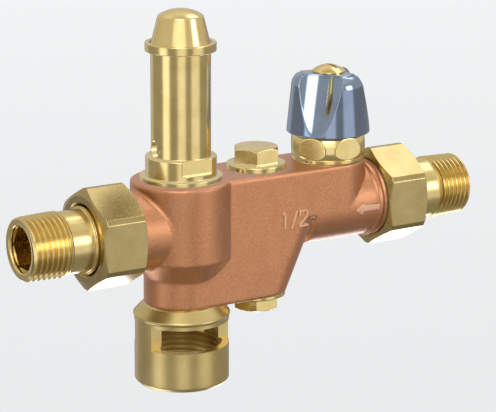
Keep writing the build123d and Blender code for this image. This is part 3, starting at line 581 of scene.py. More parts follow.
class Tree:
    """Adds shader nodes and links them."""

    def __init__(self, owner):
        """Starts an empty node tree on a material or a world."""
        owner.use_nodes = True
        self.nodes, self.links = owner.node_tree.nodes, owner.node_tree.links
        self.nodes.clear()

    def node(self, kind, inputs=None, **settings):
        """A node with its settings, and with each input given as a value or as a socket to link."""
        made = self.nodes.new(kind)
        for key, value in settings.items():
            setattr(made, key, value)
        for key, value in (inputs or {}).items():
            socket = made.inputs[key]
            if isinstance(value, bpy.types.NodeSocket):
                self.links.new(value, socket)
            else:
                socket.default_value = value
        return made

    def out(self, kind, inputs=None, **settings):
        """The first output of a new node."""
        return self.node(kind, inputs, **settings).outputs[0]

    def maths(self, operation, first, second=0.0, clamp=False):
        """One step of arithmetic."""
        return self.out("ShaderNodeMath", {0: first, 1: second}, operation=operation, use_clamp=clamp)

    def spread(self, value, from_low, from_high, to_low=0.0, to_high=1.0, kind="LINEAR"):
        """A value moved from one range to another."""
        return self.out("ShaderNodeMapRange", {"Value": value, "From Min": from_low, "From Max": from_high,
                                               "To Min": to_low, "To Max": to_high},
                        interpolation_type=kind)

    def noise(self, place, size, detail=3.0, roughness=0.5):
        """Noise whose clouds are about `size` metres across."""
        return self.out("ShaderNodeTexNoise", {"Vector": place, "Scale": 1 / size, "Detail": detail,
                                               "Roughness": roughness})

    def ramp(self, value, stops):
        """Colours at places along a value."""
        ramp = self.node("ShaderNodeValToRGB", {0: value})
        band = ramp.color_ramp.elements
        while len(band) < len(stops):
            band.new(0.5)
        for element, (place, shade) in zip(band, stops):
            element.position = place
            element.color = (*shade, 1.0)
        return ramp.outputs[0]

    def bump(self, height, depth, normal=None):
        """Relief `depth` metres deep."""
        inputs = {"Height": height, "Distance": depth, "Strength": 1.0}
        if normal is not None:
            inputs["Normal"] = normal
        return self.out("ShaderNodeBump", inputs)


def groove_height(tree, axis, centre):
    """Fine lathe grooves around an axis: noise along radius plus height, so that walls get rings and
    faces get circles."""
    place = tree.node("ShaderNodeTexCoord").outputs["Object"]
    local = tree.out("ShaderNodeMapping", {"Vector": place, "Location": [-part for part in centre]})
    across = (0.0, 1.0, 1.0) if axis == "X" else (1.0, 1.0, 0.0)
    flat = tree.out("ShaderNodeVectorMath", {0: local, 1: across}, operation="MULTIPLY")
    radius = tree.node("ShaderNodeVectorMath", {0: flat}, operation="LENGTH").outputs["Value"]
    along = tree.node("ShaderNodeSeparateXYZ", {0: local}).outputs[axis]
    ring = tree.maths("MULTIPLY", tree.maths("ADD", radius, along), 1 / GROOVE)
    return tree.out("ShaderNodeTexNoise", {"W": ring, "Scale": 1.0, "Detail": 2.0}, noise_dimensions="1D")


def metal(name, shades, roughness, grain, grain_depth, axis=None, centre=(0, 0, 0), groove_depth=0.0,
          grain_share=0.45, sheen_coat=0.0):
    """A bare metal: clouds of colour, grains in its relief and roughness, lathe grooves where an axis
    is given, and over it a thin satin coat of the given weight."""
    finish = bpy.data.materials.new(name)
    tree = Tree(finish)
    place = tree.node("ShaderNodeTexCoord").outputs["Object"]
    clouds = tree.noise(place, CLOUD, 4.0, 0.6)
    grains = tree.noise(place, grain, 2.0, 0.6)
    mixed = tree.maths("ADD", tree.maths("MULTIPLY", clouds, 1 - grain_share),
                       tree.maths("MULTIPLY", grains, grain_share))
    base = tree.ramp(mixed, list(zip(SHADE_PLACES, shades)))
    rough = tree.spread(grains, 0.3, 0.7, roughness[0], roughness[1])
    normal = tree.bump(grains, grain_depth)
    if axis:
        normal = tree.bump(groove_height(tree, axis, centre), groove_depth, normal)
    shader = tree.out("ShaderNodeBsdfPrincipled", {"Base Color": base, "Metallic": 1.0,
                                                   "Roughness": rough, "Normal": normal,
                                                   "Coat Weight": sheen_coat,
                                                   "Coat Roughness": COAT_ROUGHNESS,
                                                   "Coat Normal": normal})
    tree.node("ShaderNodeOutputMaterial", {"Surface": shader})
    return finish


def plain_finish(name, shade, darker, roughness, grain, grain_depth):
    """Rubber, fibre or plastic: slight clouds of colour and a fine grain."""
    finish = bpy.data.materials.new(name)
    tree = Tree(finish)
    place = tree.node("ShaderNodeTexCoord").outputs["Object"]
    clouds = tree.noise(place, 8 * grain, 4.0)
    grains = tree.noise(place, grain, 3.0)
    base = tree.ramp(clouds, [(0.35, tuple(part * darker for part in shade)), (0.65, tuple(shade))])
    rough = tree.spread(grains, 0.3, 0.7, roughness - 0.08, roughness + 0.08)
    shader = tree.out("ShaderNodeBsdfPrincipled", {"Base Color": base, "Roughness": rough,
                                                   "Normal": tree.bump(grains, grain_depth)})
    tree.node("ShaderNodeOutputMaterial", {"Surface": shader})
    return finish


def bronze(settings):
    """The casting's grainy bronze."""
    c = settings.colours
    return found("sand_cast_bronze", lambda name: metal(
        name, (c.bronze_dark, c.bronze, c.bronze_light), (0.34, 0.52), 0.42 * MM, 0.05 * MM,
        grain_share=0.8, sheen_coat=0.5))


def worn_bronze(settings):
    """The brighter tops of the raised marks."""
    mark = settings.colours.mark
    return found("worn_bronze", lambda name: metal(
        name, (0.9 * mark, mark, mark), (0.36, 0.46), 0.5 * MM, 0.01 * MM))


def brass(settings, place, axis="Z", centre=(0, 0, 0), strength=1.0, roughness=(0.15, 0.21),
          grain_depth=0.0025 * MM):
    """Machined brass with grooves around one axis. `place` names the part of the valve, and a strength
    under 1 makes the duller brass of the nuts and the funnel."""
    c = settings.colours
    shades = [strength * shade for shade in (c.brass_dark, c.brass, c.brass_light)]
    return found("brass_" + place, lambda name: metal(
        name, shades, roughness, 0.35 * MM, grain_depth, axis, centre, 0.0035 * MM, grain_share=0.12))


def found(name, make):
    """A material by name, made when it isn't there yet."""
    return bpy.data.materials.get(name) or make(name)


# Casting

def casting_mesh(sizes):
    """The CAD casting, merged and remade on a fine grid, then smoothed, so that its edges and inner
    corners are as soft as a sand casting's."""
    mesh = frame["nodes"]["valve_body"].data.copy()
    work = bmesh.new()
    work.from_mesh(mesh)
    bmesh.ops.remove_doubles(work, verts=work.verts, dist=MERGE)
    work.to_mesh(mesh)
    work.free()
    blank = bpy.data.objects.new("casting_blank", mesh)
    bpy.context.scene.collection.objects.link(blank)
    remesh = blank.modifiers.new("Grid", "REMESH")
    remesh.mode, remesh.voxel_size = "VOXEL", sizes.voxel
    soft = blank.modifiers.new("Soft", "SMOOTH")
    soft.factor, soft.iterations = 0.5, sizes.softening
    done = taken(blank)
    done.shade_smooth()
    return done


def lip_mesh(sizes):
    """The crisp lip before the inlet spud: a short ring turned about the pipe axis."""
    start = SHUTOFF_X + sizes.lip_start
    end = start + sizes.lip_width
    inner = sizes.tube_radius - 0.4 * MM
    outline = rounded([(inner, start), (sizes.lip_radius, start), (sizes.lip_radius, end), (inner, end)],
                      sizes.lip_edge / MM, closed=True)
    return skin("lip", [(level(*carried(divided(outline, True), full_turn(LIP_STEPS))), True)])


# Sections of the raised marks as (across, up), in shares of the half or whole width and of the rise
RIDGE_SECTION = ((-0.62, 0.0), (-0.5, 0.75), (-0.36, 1.0), (0.36, 1.0), (0.5, 0.75), (0.62, 0.0),
                 (0.62, -0.5), (-0.62, -0.5), (-0.62, 0.0))
ARROW_SECTION = ((-1.12, 0.0), (-1.0, 0.7), (-0.85, 1.0), (-0.4, 1.0), (0.0, 1.0), (0.4, 1.0),
                 (0.85, 1.0), (1.0, 0.7), (1.12, 0.0), (1.12, -0.8), (-1.12, -0.8), (-1.12, 0.0))


def ends_closed(rows):
    """A grid with one more row at each end, all of it at the middle of the end row."""
    first, last = (rows[at:at + 1].mean(axis=1, keepdims=True).repeat(rows.shape[1], axis=1)
                   for at in (0, len(rows) - 1))
    return np.concatenate([first, rows, last])


def ridge(path, width, rise, front):
    """A raised stroke along a path of (x, z) on the face at y = front: a section with sloping sides is
    carried along the path, square to it, and both ends close on their middle."""
    forward = np.gradient(path, axis=0)
    forward /= np.linalg.norm(forward, axis=1, keepdims=True)
    side = np.stack([-forward[:, 1], forward[:, 0]], axis=1)
    offsets, heights = np.array(RIDGE_SECTION).T * [[width], [rise]]
    flat = path[:, None, :] + side[:, None, :] * offsets[None, :, None]
    depth = np.broadcast_to(front - heights, flat.shape[:2])
    rows = np.stack([flat[..., 0], depth, flat[..., 1]], axis=-1)
    return ends_closed(rows), False


def size_mark_mesh(sizes):
    """The pipe size as raised numerals, each stroke a ridge along a rounded path."""
    front = -sizes.tube_radius

    def stroke(points, reach):
        """A ridge along rounded points in millimetres, measured from the plugs' axis."""
        path = divided(rounded(np.array(points) * MM, reach, steps=8)) + (PLUG_X, 0)
        keep = np.r_[True, np.linalg.norm(np.diff(path, axis=0), axis=1) > 0.02 * MM]
        return ridge(path[keep], sizes.stroke, sizes.mark_rise, front)

    one = stroke([(2.75, 1.7), (3.35, 2.3), (3.3, -3.0)], [0.15])
    bar = stroke([(5.9, -3.2), (6.95, -0.35), (8.05, 2.6)], [0.1])
    two = stroke([(9.0, 0.7), (9.05, 2.35), (12.0, 2.35), (12.0, 0.2), (8.85, -2.7), (12.3, -2.7)],
                 [1.3, 1.4, 1.3, 0.3])
    return skin("size_mark", [one, bar, two])


def arrow_mesh(sizes):
    """The raised arrow on the tube: its half height is a function of the place along it, wide at the
    back of the head and narrow in the shaft, and the sheet lies on the tube's cylinder."""
    places = np.array([0.0, 0.25 * MM, sizes.arrow_head / 2, sizes.arrow_head,
                       sizes.arrow_head + 0.12 * MM, sizes.arrow_length * 0.6,
                       sizes.arrow_length - 0.3 * MM, sizes.arrow_length])
    half = np.array([0.02 * MM, 0.3 * MM, sizes.arrow_head_half / 2, sizes.arrow_head_half]
                    + [sizes.arrow_shaft_half] * 4)
    across, rise = np.array(ARROW_SECTION).T * [[1.0], [sizes.mark_rise]]
    x = SHUTOFF_X + sizes.arrow_tip + np.repeat(places[:, None], len(across), axis=1)
    height = sizes.arrow_height + half[:, None] * across[None, :]
    radius = sizes.tube_radius + np.repeat(rise[None, :], len(half), axis=0)
    turn = np.pi - height / sizes.tube_radius
    rows = np.stack([x, radius * np.cos(turn), radius * np.sin(turn)], axis=-1)
    return skin("flow_arrow", [(ends_closed(rows), False)])


def make_casting(settings):
    """The casting with its lip, arrow and size mark."""
    sizes, finish = settings.casting, bronze(settings)
    place_piece("casting", casting_mesh(sizes), "valve", finish, ("valve_body",),
                weighted=False, mirrored=False)
    place_piece("inlet_lip", lip_mesh(sizes), "valve", finish)
    worn = worn_bronze(settings)
    place_piece("flow_arrow", arrow_mesh(sizes), "valve", worn)
    place_piece("size_mark", size_mark_mesh(sizes), "valve", worn)


# Unions

def tailpiece_rows(sizes):
    """Radius, along and turn of a tailpiece, along measured from its open end. The thread's crest widens
    by a thirty-second of the way along, its grooves go down by the tooth's depth and run out into the
    neck, then come hub, collar, bore and key hole, back to the open end."""
    angles = np.linspace(0, TURN, THREAD_STEPS + 1)
    along, phase = thread_lines(0.0, sizes.thread_end, sizes.pitch, angles)
    radius = sizes.gauge_radius + (along - sizes.gauge_depth) / 32 - sizes.depth * tooth(phase)
    radius = soft_least(radius, sizes.lead_radius + along * sizes.lead_slope)
    leave = smooth_step((along - sizes.thread_end + sizes.pitch) / sizes.pitch)
    radius = radius * (1 - leave) + sizes.neck_radius * leave
    hub_end = TAIL_LENGTH - sizes.collar
    small = sizes.key_flats / 2
    outside = rounded([
        (sizes.neck_radius, sizes.thread_end), (sizes.neck_radius, sizes.hub_start),
        (sizes.hub_radius, sizes.hub_start), (sizes.hub_radius, hub_end),
        (sizes.collar_radius, hub_end), (sizes.collar_radius, TAIL_LENGTH),
        (small, TAIL_LENGTH), (small, sizes.key_end)],
        [1.5, 0.3, 0.2, 0.3, 0.3, 0.2])
    key_rows = np.array([[small, sizes.key_end], [small, sizes.key_start]])
    mouth = np.array([[sizes.bore_radius, sizes.key_start], [sizes.bore_radius, 0.5 * MM],
                      [sizes.bore_radius + 0.25 * MM, 0.12 * MM], [sizes.bore_radius + 0.6 * MM, 0.0],
                      [sizes.lead_radius - 0.3 * MM, 0.0]])
    out_radius, out_along, _ = carried(divided(outside), angles)
    key_radius, key_along, key_turn = carried(key_rows, angles)
    key_radius = np.minimum(sizes.bore_radius, flats(small, 30, 6)(key_turn))
    mouth_radius, mouth_along, _ = carried(mouth, angles)
    radius = np.vstack([radius, out_radius, key_radius, mouth_radius])
    along = np.vstack([along, out_along, key_along, mouth_along])
    return radius, along, np.repeat(angles[None, :], len(radius), axis=0)


def nut_mesh(name, sizes, hole_face, bore_face):
    """A union nut between two faces: a ring's outline turned about the pipe axis and held under a
    hexagon of flats, the first facing +Y."""
    way = 1 if bore_face > hole_face else -1
    half = sizes.flats / 2
    cut_angle = math.degrees(math.acos(half / sizes.corner_radius))
    marks = [60 * side + sign * cut_angle for side in range(6) for sign in (-1, 1)]
    outline = rounded([
        (sizes.hole_radius + sizes.hole_mouth, hole_face), (sizes.face_radius, hole_face),
        (sizes.corner_radius, hole_face + way * sizes.chamfer),
        (sizes.corner_radius, bore_face - way * sizes.chamfer),
        (sizes.face_radius, bore_face), (sizes.bore_radius, bore_face),
        (sizes.bore_radius, hole_face + way * sizes.shoulder),
        (sizes.hole_radius, hole_face + way * sizes.shoulder),
        (sizes.hole_radius, hole_face + way * sizes.hole_mouth)],
        [0.1, 0.25, 0.3, 0.3, 0.25, 0.15, 0.1, 0.1, 0.1], closed=True)
    hexagon = flats(half, 0, 6)
    grid = carried(divided(outline, True), full_turn(FLAT_STEPS, marks), lambda turn, along: hexagon(turn))
    return skin(name, [(level(*grid), True)])


def make_unions(settings):
    """Both threaded tailpieces and both union nuts."""
    finish = brass(settings, "pipe", "X", strength=0.9, roughness=(0.18, 0.25))
    radius, along, turn = tailpiece_rows(settings.tailpiece)
    outlet = skin("outlet_tail", [(level(radius, OUTLET_END + along, turn), True)])
    inlet = skin("inlet_tail", [(level(radius, INLET_END - along, -turn), True)])
    place_piece("outlet_threaded_tail", outlet, "valve", finish, ("outlet_tailpiece",))
    place_piece("inlet_threaded_tail", inlet, "valve", finish, ("inlet_tailpiece",))
    finish = brass(settings, "nuts", "X", strength=0.56, roughness=(0.22, 0.30), grain_depth=0.006 * MM)
    outlet = nut_mesh("outlet_nut", settings.nut, OUTLET_NUT[0].x, OUTLET_NUT[1].x)
    inlet = nut_mesh("inlet_nut", settings.nut, INLET_NUT[1].x, INLET_NUT[0].x)
    place_piece("outlet_hexagon_nut", outlet, "outlet_nut", finish, ("outlet_union_nut",))
    place_piece("inlet_hexagon_nut", inlet, "inlet_nut", finish, ("inlet_union_nut",))


# Relief valve

def foot_fillet(height, radius):
    """How far a milled flat stands out near its foot: a quarter circle that fades out at `radius`."""
    drop = np.clip(radius - height, 0, radius)
    return radius - np.sqrt(np.maximum(radius ** 2 - drop ** 2, 0))


def bonnet_mesh(sizes):
    """The bonnet: one outline turned about the relief axis, with two spanner flats milled down to a
    fillet, and the vent drilled through its wall."""
    flange_top = BODY_TOP + sizes.flange
    base_top = flange_top + sizes.base_height
    flat_low = flange_top + sizes.flat_foot
    ring_low = BONNET_TOP - sizes.ring_height
    floor = BONNET_TOP - sizes.recess_depth
    outline = [
        (sizes.bore_radius, BONNET_LOW), (sizes.thread_radius, BONNET_LOW),
        (sizes.thread_radius, BODY_TOP), (sizes.flange_radius, BODY_TOP),
        (sizes.flange_radius, flange_top), (sizes.base_radius, flange_top),
        (sizes.base_radius, flat_low - 2 * HALF_GAP), (sizes.base_radius, flat_low),
        (sizes.base_radius, base_top), (sizes.tube_radius, base_top),
        (sizes.tube_radius, ring_low), (sizes.ring_radius, ring_low),
        (sizes.ring_radius, BONNET_TOP), (sizes.recess_radius, BONNET_TOP),
        (sizes.recess_radius, floor), (sizes.bore_radius, floor)]
    reach = [0.1, 0.1, 0.1, 0.2, 0.2, 0.25, 0, 0, 0.45, 0.35, 0.3, 0.35, 0.4, 0.3, 0.1, 0.1]
    pair = flats(sizes.flats / 2, 90, 2)

    def limit(turn, along):
        """The flats' distance plus the fillet at their foot, between foot and top ring."""
        milled = (along >= flat_low - HALF_GAP) & (along < ring_low - MM)
        reach_out = pair(turn) + foot_fillet(along - flat_low, sizes.foot_radius)
        return np.where(milled & (np.abs(np.sin(turn)) > 0.5), reach_out, NO_LIMIT)

    flat_edge = math.degrees(math.acos(sizes.flats / 2 / sizes.base_radius))
    marks = [side + sign * flat_edge for side in (90, 270) for sign in (-1, 1)]
    outline = divided(rounded(outline, reach, closed=True), True)
    blank = turned("bonnet", RELIEF_X, outline, full_turn(FLAT_STEPS, marks), limit, True)
    # The drill goes in from outside the tube, and stops inside it
    drill_turns = full_turn(DRILL_STEPS)
    radius = np.array([0.0, sizes.vent_radius, sizes.vent_radius, 0.0])[:, None] + 0 * drill_turns
    reach_x = np.array([-1.6, -1.6, -0.4, -0.4])[:, None] * sizes.tube_radius + RELIEF_X + 0 * drill_turns
    points = level(radius, reach_x, drill_turns[None, :] + 0 * radius)
    points[..., 2] += base_top + sizes.vent_height
    return cut(blank, [skin("vent_drill", [(points, False)])])


def cap_mesh(sizes):
    """The lifting cap: foot, slope, rounded shoulder and a dome whose height falls off as a circle's."""
    shoulder = CAP_TOP - sizes.cap_dome
    dome = dome_rows(sizes.cap_shoulder_radius, sizes.cap_dome, CAP_TOP, 0.93)
    side = rounded([
        (0, CAP_FOOT + sizes.cap_hollow), (sizes.cap_hollow_radius, CAP_FOOT + sizes.cap_hollow),
        (sizes.cap_hollow_radius, CAP_FOOT), (sizes.cap_foot_radius, CAP_FOOT),
        (sizes.cap_shoulder_radius, shoulder), tuple(dome[0])],
        [0.2, 0.2, 0.3, 0.6])
    outline = np.vstack([divided(side), dome[1:]])
    return turned("cap", RELIEF_X, outline, full_turn(CAP_STEPS))


def make_relief_valve(settings):
    """The bonnet and the lifting cap."""
    finish = brass(settings, "relief", "Z", (RELIEF_X, 0, 0))
    place_piece("turned_bonnet", bonnet_mesh(settings.relief), "valve", finish,
                ("relief_bonnet",), mirrored=False)
    place_piece("domed_cap", cap_mesh(settings.relief), "relief_cap", finish, ("lifting_cap",))


# Plugs

def plug_mesh(name, sizes, seat, crown, thread_end, thread_radius, hollow_radius, hollow_end):
    """A plug: disc, hexagon with a turned crown, and the screwed part in the casting. Heights grow
    from the seat towards the crown, whichever way that points."""
    way = 1 if crown > seat else -1
    disc = seat + way * sizes.disc
    corner = sizes.flats / 2 / math.cos(math.pi / 6) + 0.2 * MM
    outline = [
        (0, hollow_end), (hollow_radius, hollow_end), (hollow_radius, thread_end),
        (thread_radius, thread_end), (thread_radius, seat), (sizes.disc_radius, seat),
        (sizes.disc_radius, disc), (corner, disc), (corner, disc + way * 2 * HALF_GAP),
        (corner, crown), (sizes.crown_radius, crown), (0, crown)]
    reach = [0.1, 0.1, 0.3, 0.1, 0.2, 0.5, 0, 0, 0.02, 0.2]
    hexagon = flats(sizes.flats / 2, 90, 6)

    def limit(turn, along):
        """Above the disc, the lesser of the hexagon with its fillet and the crown's cone."""
        rise = (along - disc) * way
        side = hexagon(turn) + foot_fillet(rise, sizes.foot_radius)
        cone = sizes.crown_radius + (crown - along) * way * sizes.crown_slope
        return np.where(rise > HALF_GAP, soft_least(side, cone), NO_LIMIT)

    marks = [60 * side for side in range(6)]
    return turned(name, PLUG_X, divided(rounded(outline, reach)), full_turn(FLAT_STEPS, marks), limit)


def make_plugs(settings):
    """Both hexagonal plugs of the check valve chamber."""
    sizes = settings.plug
    finish = brass(settings, "plugs", "Z", (PLUG_X, 0, 0))
    top = plug_mesh("top", sizes, BODY_TOP, TOP_PLUG_HIGH, TOP_PLUG_LOW, sizes.top_thread_radius,
                    sizes.top_hollow_radius, TOP_PLUG_LOW + sizes.top_hollow)
    bottom = plug_mesh("bottom", sizes, BODY_BOTTOM, BOTTOM_PLUG_LOW, BOTTOM_PLUG_HIGH,
                       sizes.bottom_thread_radius, sizes.bottom_thread_radius / 2,
                       BOTTOM_PLUG_HIGH - sizes.bottom_hollow)
    place_piece("top_hexagon_plug", top, "valve", finish, ("top_plug",), mirrored=False)
    place_piece("bottom_hexagon_plug", bottom, "valve", finish, ("bottom_plug",))


# Shut-off valve

def headwork_mesh(sizes):
    """The headwork: a ring, then a round bulge, turned about the shut-off axis and held under six flats
    that cut it in ovals, then the neck."""
    ring_top = BODY_TOP + sizes.ring_height
    middle = BODY_TOP + sizes.bulge_height
    centre = sizes.bulge_radius - sizes.bulge_section
    low = -math.asin((middle - ring_top) / sizes.bulge_section)
    bend = np.linspace(low, sizes.bulge_end, BULGE_STEPS)
    tall = np.where(bend > 0, sizes.bulge_stretch, 1.0)
    bulge = np.stack([centre + sizes.bulge_section * np.cos(bend),
                      middle + tall * sizes.bulge_section * np.sin(bend)], axis=1)
    lower = rounded([
        (sizes.stem_radius, HEADWORK_HIGH), (sizes.stem_radius, sizes.well_height),
        (sizes.well_radius, sizes.well_height), (sizes.well_radius, HEADWORK_LOW),
        (sizes.thread_radius, HEADWORK_LOW), (sizes.thread_radius, BODY_TOP),
        (sizes.ring_radius, BODY_TOP), (sizes.ring_radius, ring_top), tuple(bulge[0])],
        [0.1, 0.1, 0.1, 0.3, 0.1, 0.2, 0.3])
    upper = rounded([
        tuple(bulge[-1]), (sizes.neck_radius, bulge[-1, 1] + sizes.neck_rise),
        (sizes.neck_radius, HEADWORK_HIGH), (sizes.stem_radius, HEADWORK_HIGH)],
        [0.4, 0.3])
    outline = np.vstack([divided(lower), bulge[1:-1], divided(upper)[:-1]])
    ovals = flats(sizes.flats / 2, 30, 6)

    def limit(turn, along):
        """The six flats above the ring, and nothing below."""
        return np.where(along > ring_top, ovals(turn), NO_LIMIT)

    return turned("headwork", SHUTOFF_X, outline, full_turn(OVAL_STEPS), limit, True)


def shoulder_arc(sizes):
    """Points on the circle through the waist, the shoulder and the top edge, from waist to top, as
    (radius, height above the rim)."""
    a = complex(sizes.waist_radius, sizes.waist)
    b = complex(sizes.shoulder_radius, sizes.shoulder)
    c = complex(sizes.top_radius, HANDLE_HIGH - HANDLE_LOW)
    ratio = (c - a) / (b - a)
    centre = (b - a) * (ratio - abs(ratio) ** 2) / (2j * ratio.imag) + a
    angles = np.linspace(np.angle(a - centre), np.angle(c - centre), SHOULDER_STEPS)
    points = centre + abs(a - centre) * np.exp(1j * angles)
    return np.stack([points.real, points.imag], axis=1)


def handle_mesh(sizes):
    """The handle: its turned outline is softly held under leaning flutes. At a height where a flute's
    cylinder stands c from the axis, the flute's wall is at c cos(a) - sqrt(R^2 - c^2 sin(a)^2)."""
    height = HANDLE_HIGH - HANDLE_LOW
    angles = full_turn(HANDLE_STEPS)
    inside = rounded([
        (0, sizes.hollow), (sizes.hollow_radius, sizes.hollow), (sizes.hollow_radius, sizes.skirt),
        (sizes.skirt_radius, sizes.skirt), (sizes.skirt_radius, 0), (sizes.rim_radius, 0),
        (sizes.waist_radius, sizes.waist)],
        [0.4, 0.2, 0.2, 0.15, 0.5])
    wall = np.linspace(inside[-2], (sizes.waist_radius, sizes.waist), WALL_STEPS)
    arc = shoulder_arc(sizes)
    outline = np.vstack([inside[:-1], wall[1:], arc[1:]])
    radius, along, turn = carried(outline, angles)
    reach = sizes.rim_radius + sizes.flute_radius + along / height * (sizes.flute_depth - sizes.rim_radius)
    step = TURN / sizes.flutes
    away = (turn - sizes.flute_angle + step / 2) % step - step / 2
    root = sizes.flute_radius ** 2 - (reach * np.sin(away)) ** 2
    hollow = np.where(root > 0, reach * np.cos(away) - np.sqrt(np.maximum(root, 0)), NO_LIMIT)
    radius = soft_least(radius, hollow, sizes.flute_edge)
    edge = sizes.top_edge
    bend = np.linspace(0, math.pi / 2, EDGE_STEPS)[:, None]
    top = radius[-1:]
    edge_radius = top - edge * (1 - np.cos(bend))
    edge_along = height - edge + edge * np.sin(bend)
    under_edge = along < height - edge
    keep = under_edge.all(axis=1)
    keep[:len(inside) - 1] = True
    shares = np.linspace(0.9, 0, TOP_STEPS)[:, None]
    radius = np.vstack([radius[keep], edge_radius, shares * edge_radius[-1:]])
    along = np.vstack([along[keep], edge_along + 0 * top, height + 0 * shares * top])
    turn = np.repeat(angles[None, :], len(radius), axis=0)
    return skin("handle", [(upright(SHUTOFF_X, radius, HANDLE_LOW + along, turn), False)])


def screw_mesh(sizes):
    """The screw: shank, rim and a dome that falls off as a circle, with a milled slot."""
    rim = HANDLE_HIGH + sizes.screw_rim
    dome = dome_rows(sizes.screw_radius, SCREW_HIGH - rim, SCREW_HIGH, 0.97)
    side = rounded([
        (0, SCREW_LOW), (sizes.shank_radius, SCREW_LOW), (sizes.shank_radius, HANDLE_HIGH),
        (sizes.screw_radius, HANDLE_HIGH), (sizes.screw_radius, rim), tuple(dome[0])],
        [0.2, 0.1, 0.1, 0.2])
    outline = np.vstack([divided(side), dome[1:]])
    blank = turned("screw", SHUTOFF_X, outline, full_turn(SCREW_STEPS))
    half = Vector((sizes.slot_length / 2, sizes.slot_width / 2, sizes.slot_width))
    centre = Vector((SHUTOFF_X, 0, SCREW_HIGH))
    return cut(blank, [block("slot", centre - half, centre + half, sizes.slot_angle)])


def chrome(settings):
    """The handle's plating: bright, slightly blue, with faint casting waves under it."""
    c = settings.colours
    return found("chrome_plate", lambda name: metal(
        name, (c.chrome_dark, c.chrome, c.chrome), (0.06, 0.10), 1.6 * MM, 0.003 * MM, grain_share=0.1))


def make_shutoff(settings):
    """The headwork, the handle and its screw."""
    finish = brass(settings, "shutoff", "Z", (SHUTOFF_X, 0, 0))
    headwork = headwork_mesh(settings.headwork)
    place_piece("oval_headwork", headwork, "valve", finish, ("headwork",))
    handle = handle_mesh(settings.handle)
    place_piece("fluted_handle", handle, "shutoff_handle", chrome(settings), ("handle",))
    screw = screw_mesh(settings.handle)
    place_piece("domed_screw", screw, "shutoff_handle", finish, ("handle_screw",))


# Discharge funnel

def funnel_mesh(sizes):
    """The funnel: spigot, cone, rim and wall outside, and inside a helical thread up to the roof, whose
    grooves go outwards from the bore and fade beside the two windows milled through the wall."""
    angles = np.linspace(0, TURN, THREAD_STEPS + 1)
    top = BODY_BOTTOM
    window_high = top - sizes.window_top
    window_low = window_high - sizes.window_height
    roof = top - sizes.roof
    rim = top - sizes.cone
    mouth_radius = sizes.bore_radius + sizes.depth + sizes.mouth_gap
    outside = rounded([
        (sizes.bore_radius, roof), (sizes.drain_radius, roof), (sizes.drain_radius, FUNNEL_HIGH),
        (sizes.spigot_radius, FUNNEL_HIGH), (sizes.spigot_radius, top), (sizes.top_radius, top),
        (sizes.rim_radius, rim), (sizes.rim_radius, rim - sizes.rim_edge),
        (sizes.wall_radius, rim - sizes.rim_edge - sizes.rim_slope),
        (sizes.wall_radius, FUNNEL_LOW + sizes.chamfer),
        (sizes.wall_radius - sizes.chamfer, FUNNEL_LOW),
        (mouth_radius, FUNNEL_LOW)],
        [0.3, 0.1, 0.3, 0.1, 0.2, 0.4, 0.25, 0.3, 0.3, 0.25])
    thread_top = roof - sizes.thread_gap
    along, phase = thread_lines(FUNNEL_LOW, thread_top, sizes.pitch, angles)
    beside = 1 - smooth_step((np.abs(np.sin(angles))[None, :] - 0.5) / 0.15)
    at_window = smooth_step((along - window_low) / MM)
    radius = sizes.bore_radius + sizes.depth * tooth(phase) * (1 - beside * at_window)
    radius = np.maximum(radius, mouth_radius - (along - FUNNEL_LOW))
    leave = smooth_step((along - thread_top + sizes.pitch) / sizes.pitch)
    radius = radius * (1 - leave) + sizes.bore_radius * leave
    out_radius, out_along, _ = carried(divided(outside), angles)
    radius = np.vstack([out_radius, radius])
    along = np.vstack([out_along, along])
    turn = np.repeat(angles[None, :], len(radius), axis=0)
    blank = skin("funnel", [(upright(RELIEF_X, radius, along, turn), True)])
    wide = 2 * sizes.rim_radius
    near = sizes.window_depth
    left, right = RELIEF_X - wide, RELIEF_X + wide
    front = block("front_window", (left, -wide, window_low), (right, -near, window_high))
    back = block("back_window", (left, near, window_low), (right, wide, window_high))
    return cut(blank, [front, back])


def make_funnel(settings):
    """The discharge funnel."""
    finish = brass(settings, "funnel", "Z", (RELIEF_X, 0, 0), 0.78, (0.28, 0.38), 0.008 * MM)
    funnel = funnel_mesh(settings.funnel)
    place_piece("windowed_funnel", funnel, "valve", finish, ("discharge_funnel",))


# Inner parts

def make_inner_parts(settings):
    """Finishes for the parts that stay as the CAD has them: seals, gaskets, springs and stems. They are
    kept out of mirror images, which would show them through the pieces that are left out too."""
    c = settings.colours
    finishes = {
        "rubber": plain_finish("seal_rubber", c.rubber, 0.6, 0.6, 0.25 * MM, 0.01 * MM),
        "fibre": plain_finish("gasket_fibre", c.fibre, 0.6, 0.8, 0.3 * MM, 0.03 * MM),
        "valve_plastic": plain_finish("poppet_plastic", c.plastic, 0.85, 0.45, 0.4 * MM, 0.01 * MM),
        "spring_steel": metal("spring_wire", (c.steel, c.steel, c.steel), (0.25, 0.4), 0.3 * MM, 0.01 * MM),
        "brass": brass(settings, "inner"),
        "cast_bronze": bronze(settings),
        "chrome": chrome(settings),
    }
    slots = {row["node"]: row["material_slot"] for row in frame["record"]["subparts"]}
    for name, node in frame["nodes"].items():
        node.data.materials.clear()
        node.data.materials.append(finishes[slots[name]])
        node.visible_glossy = False


# Studio

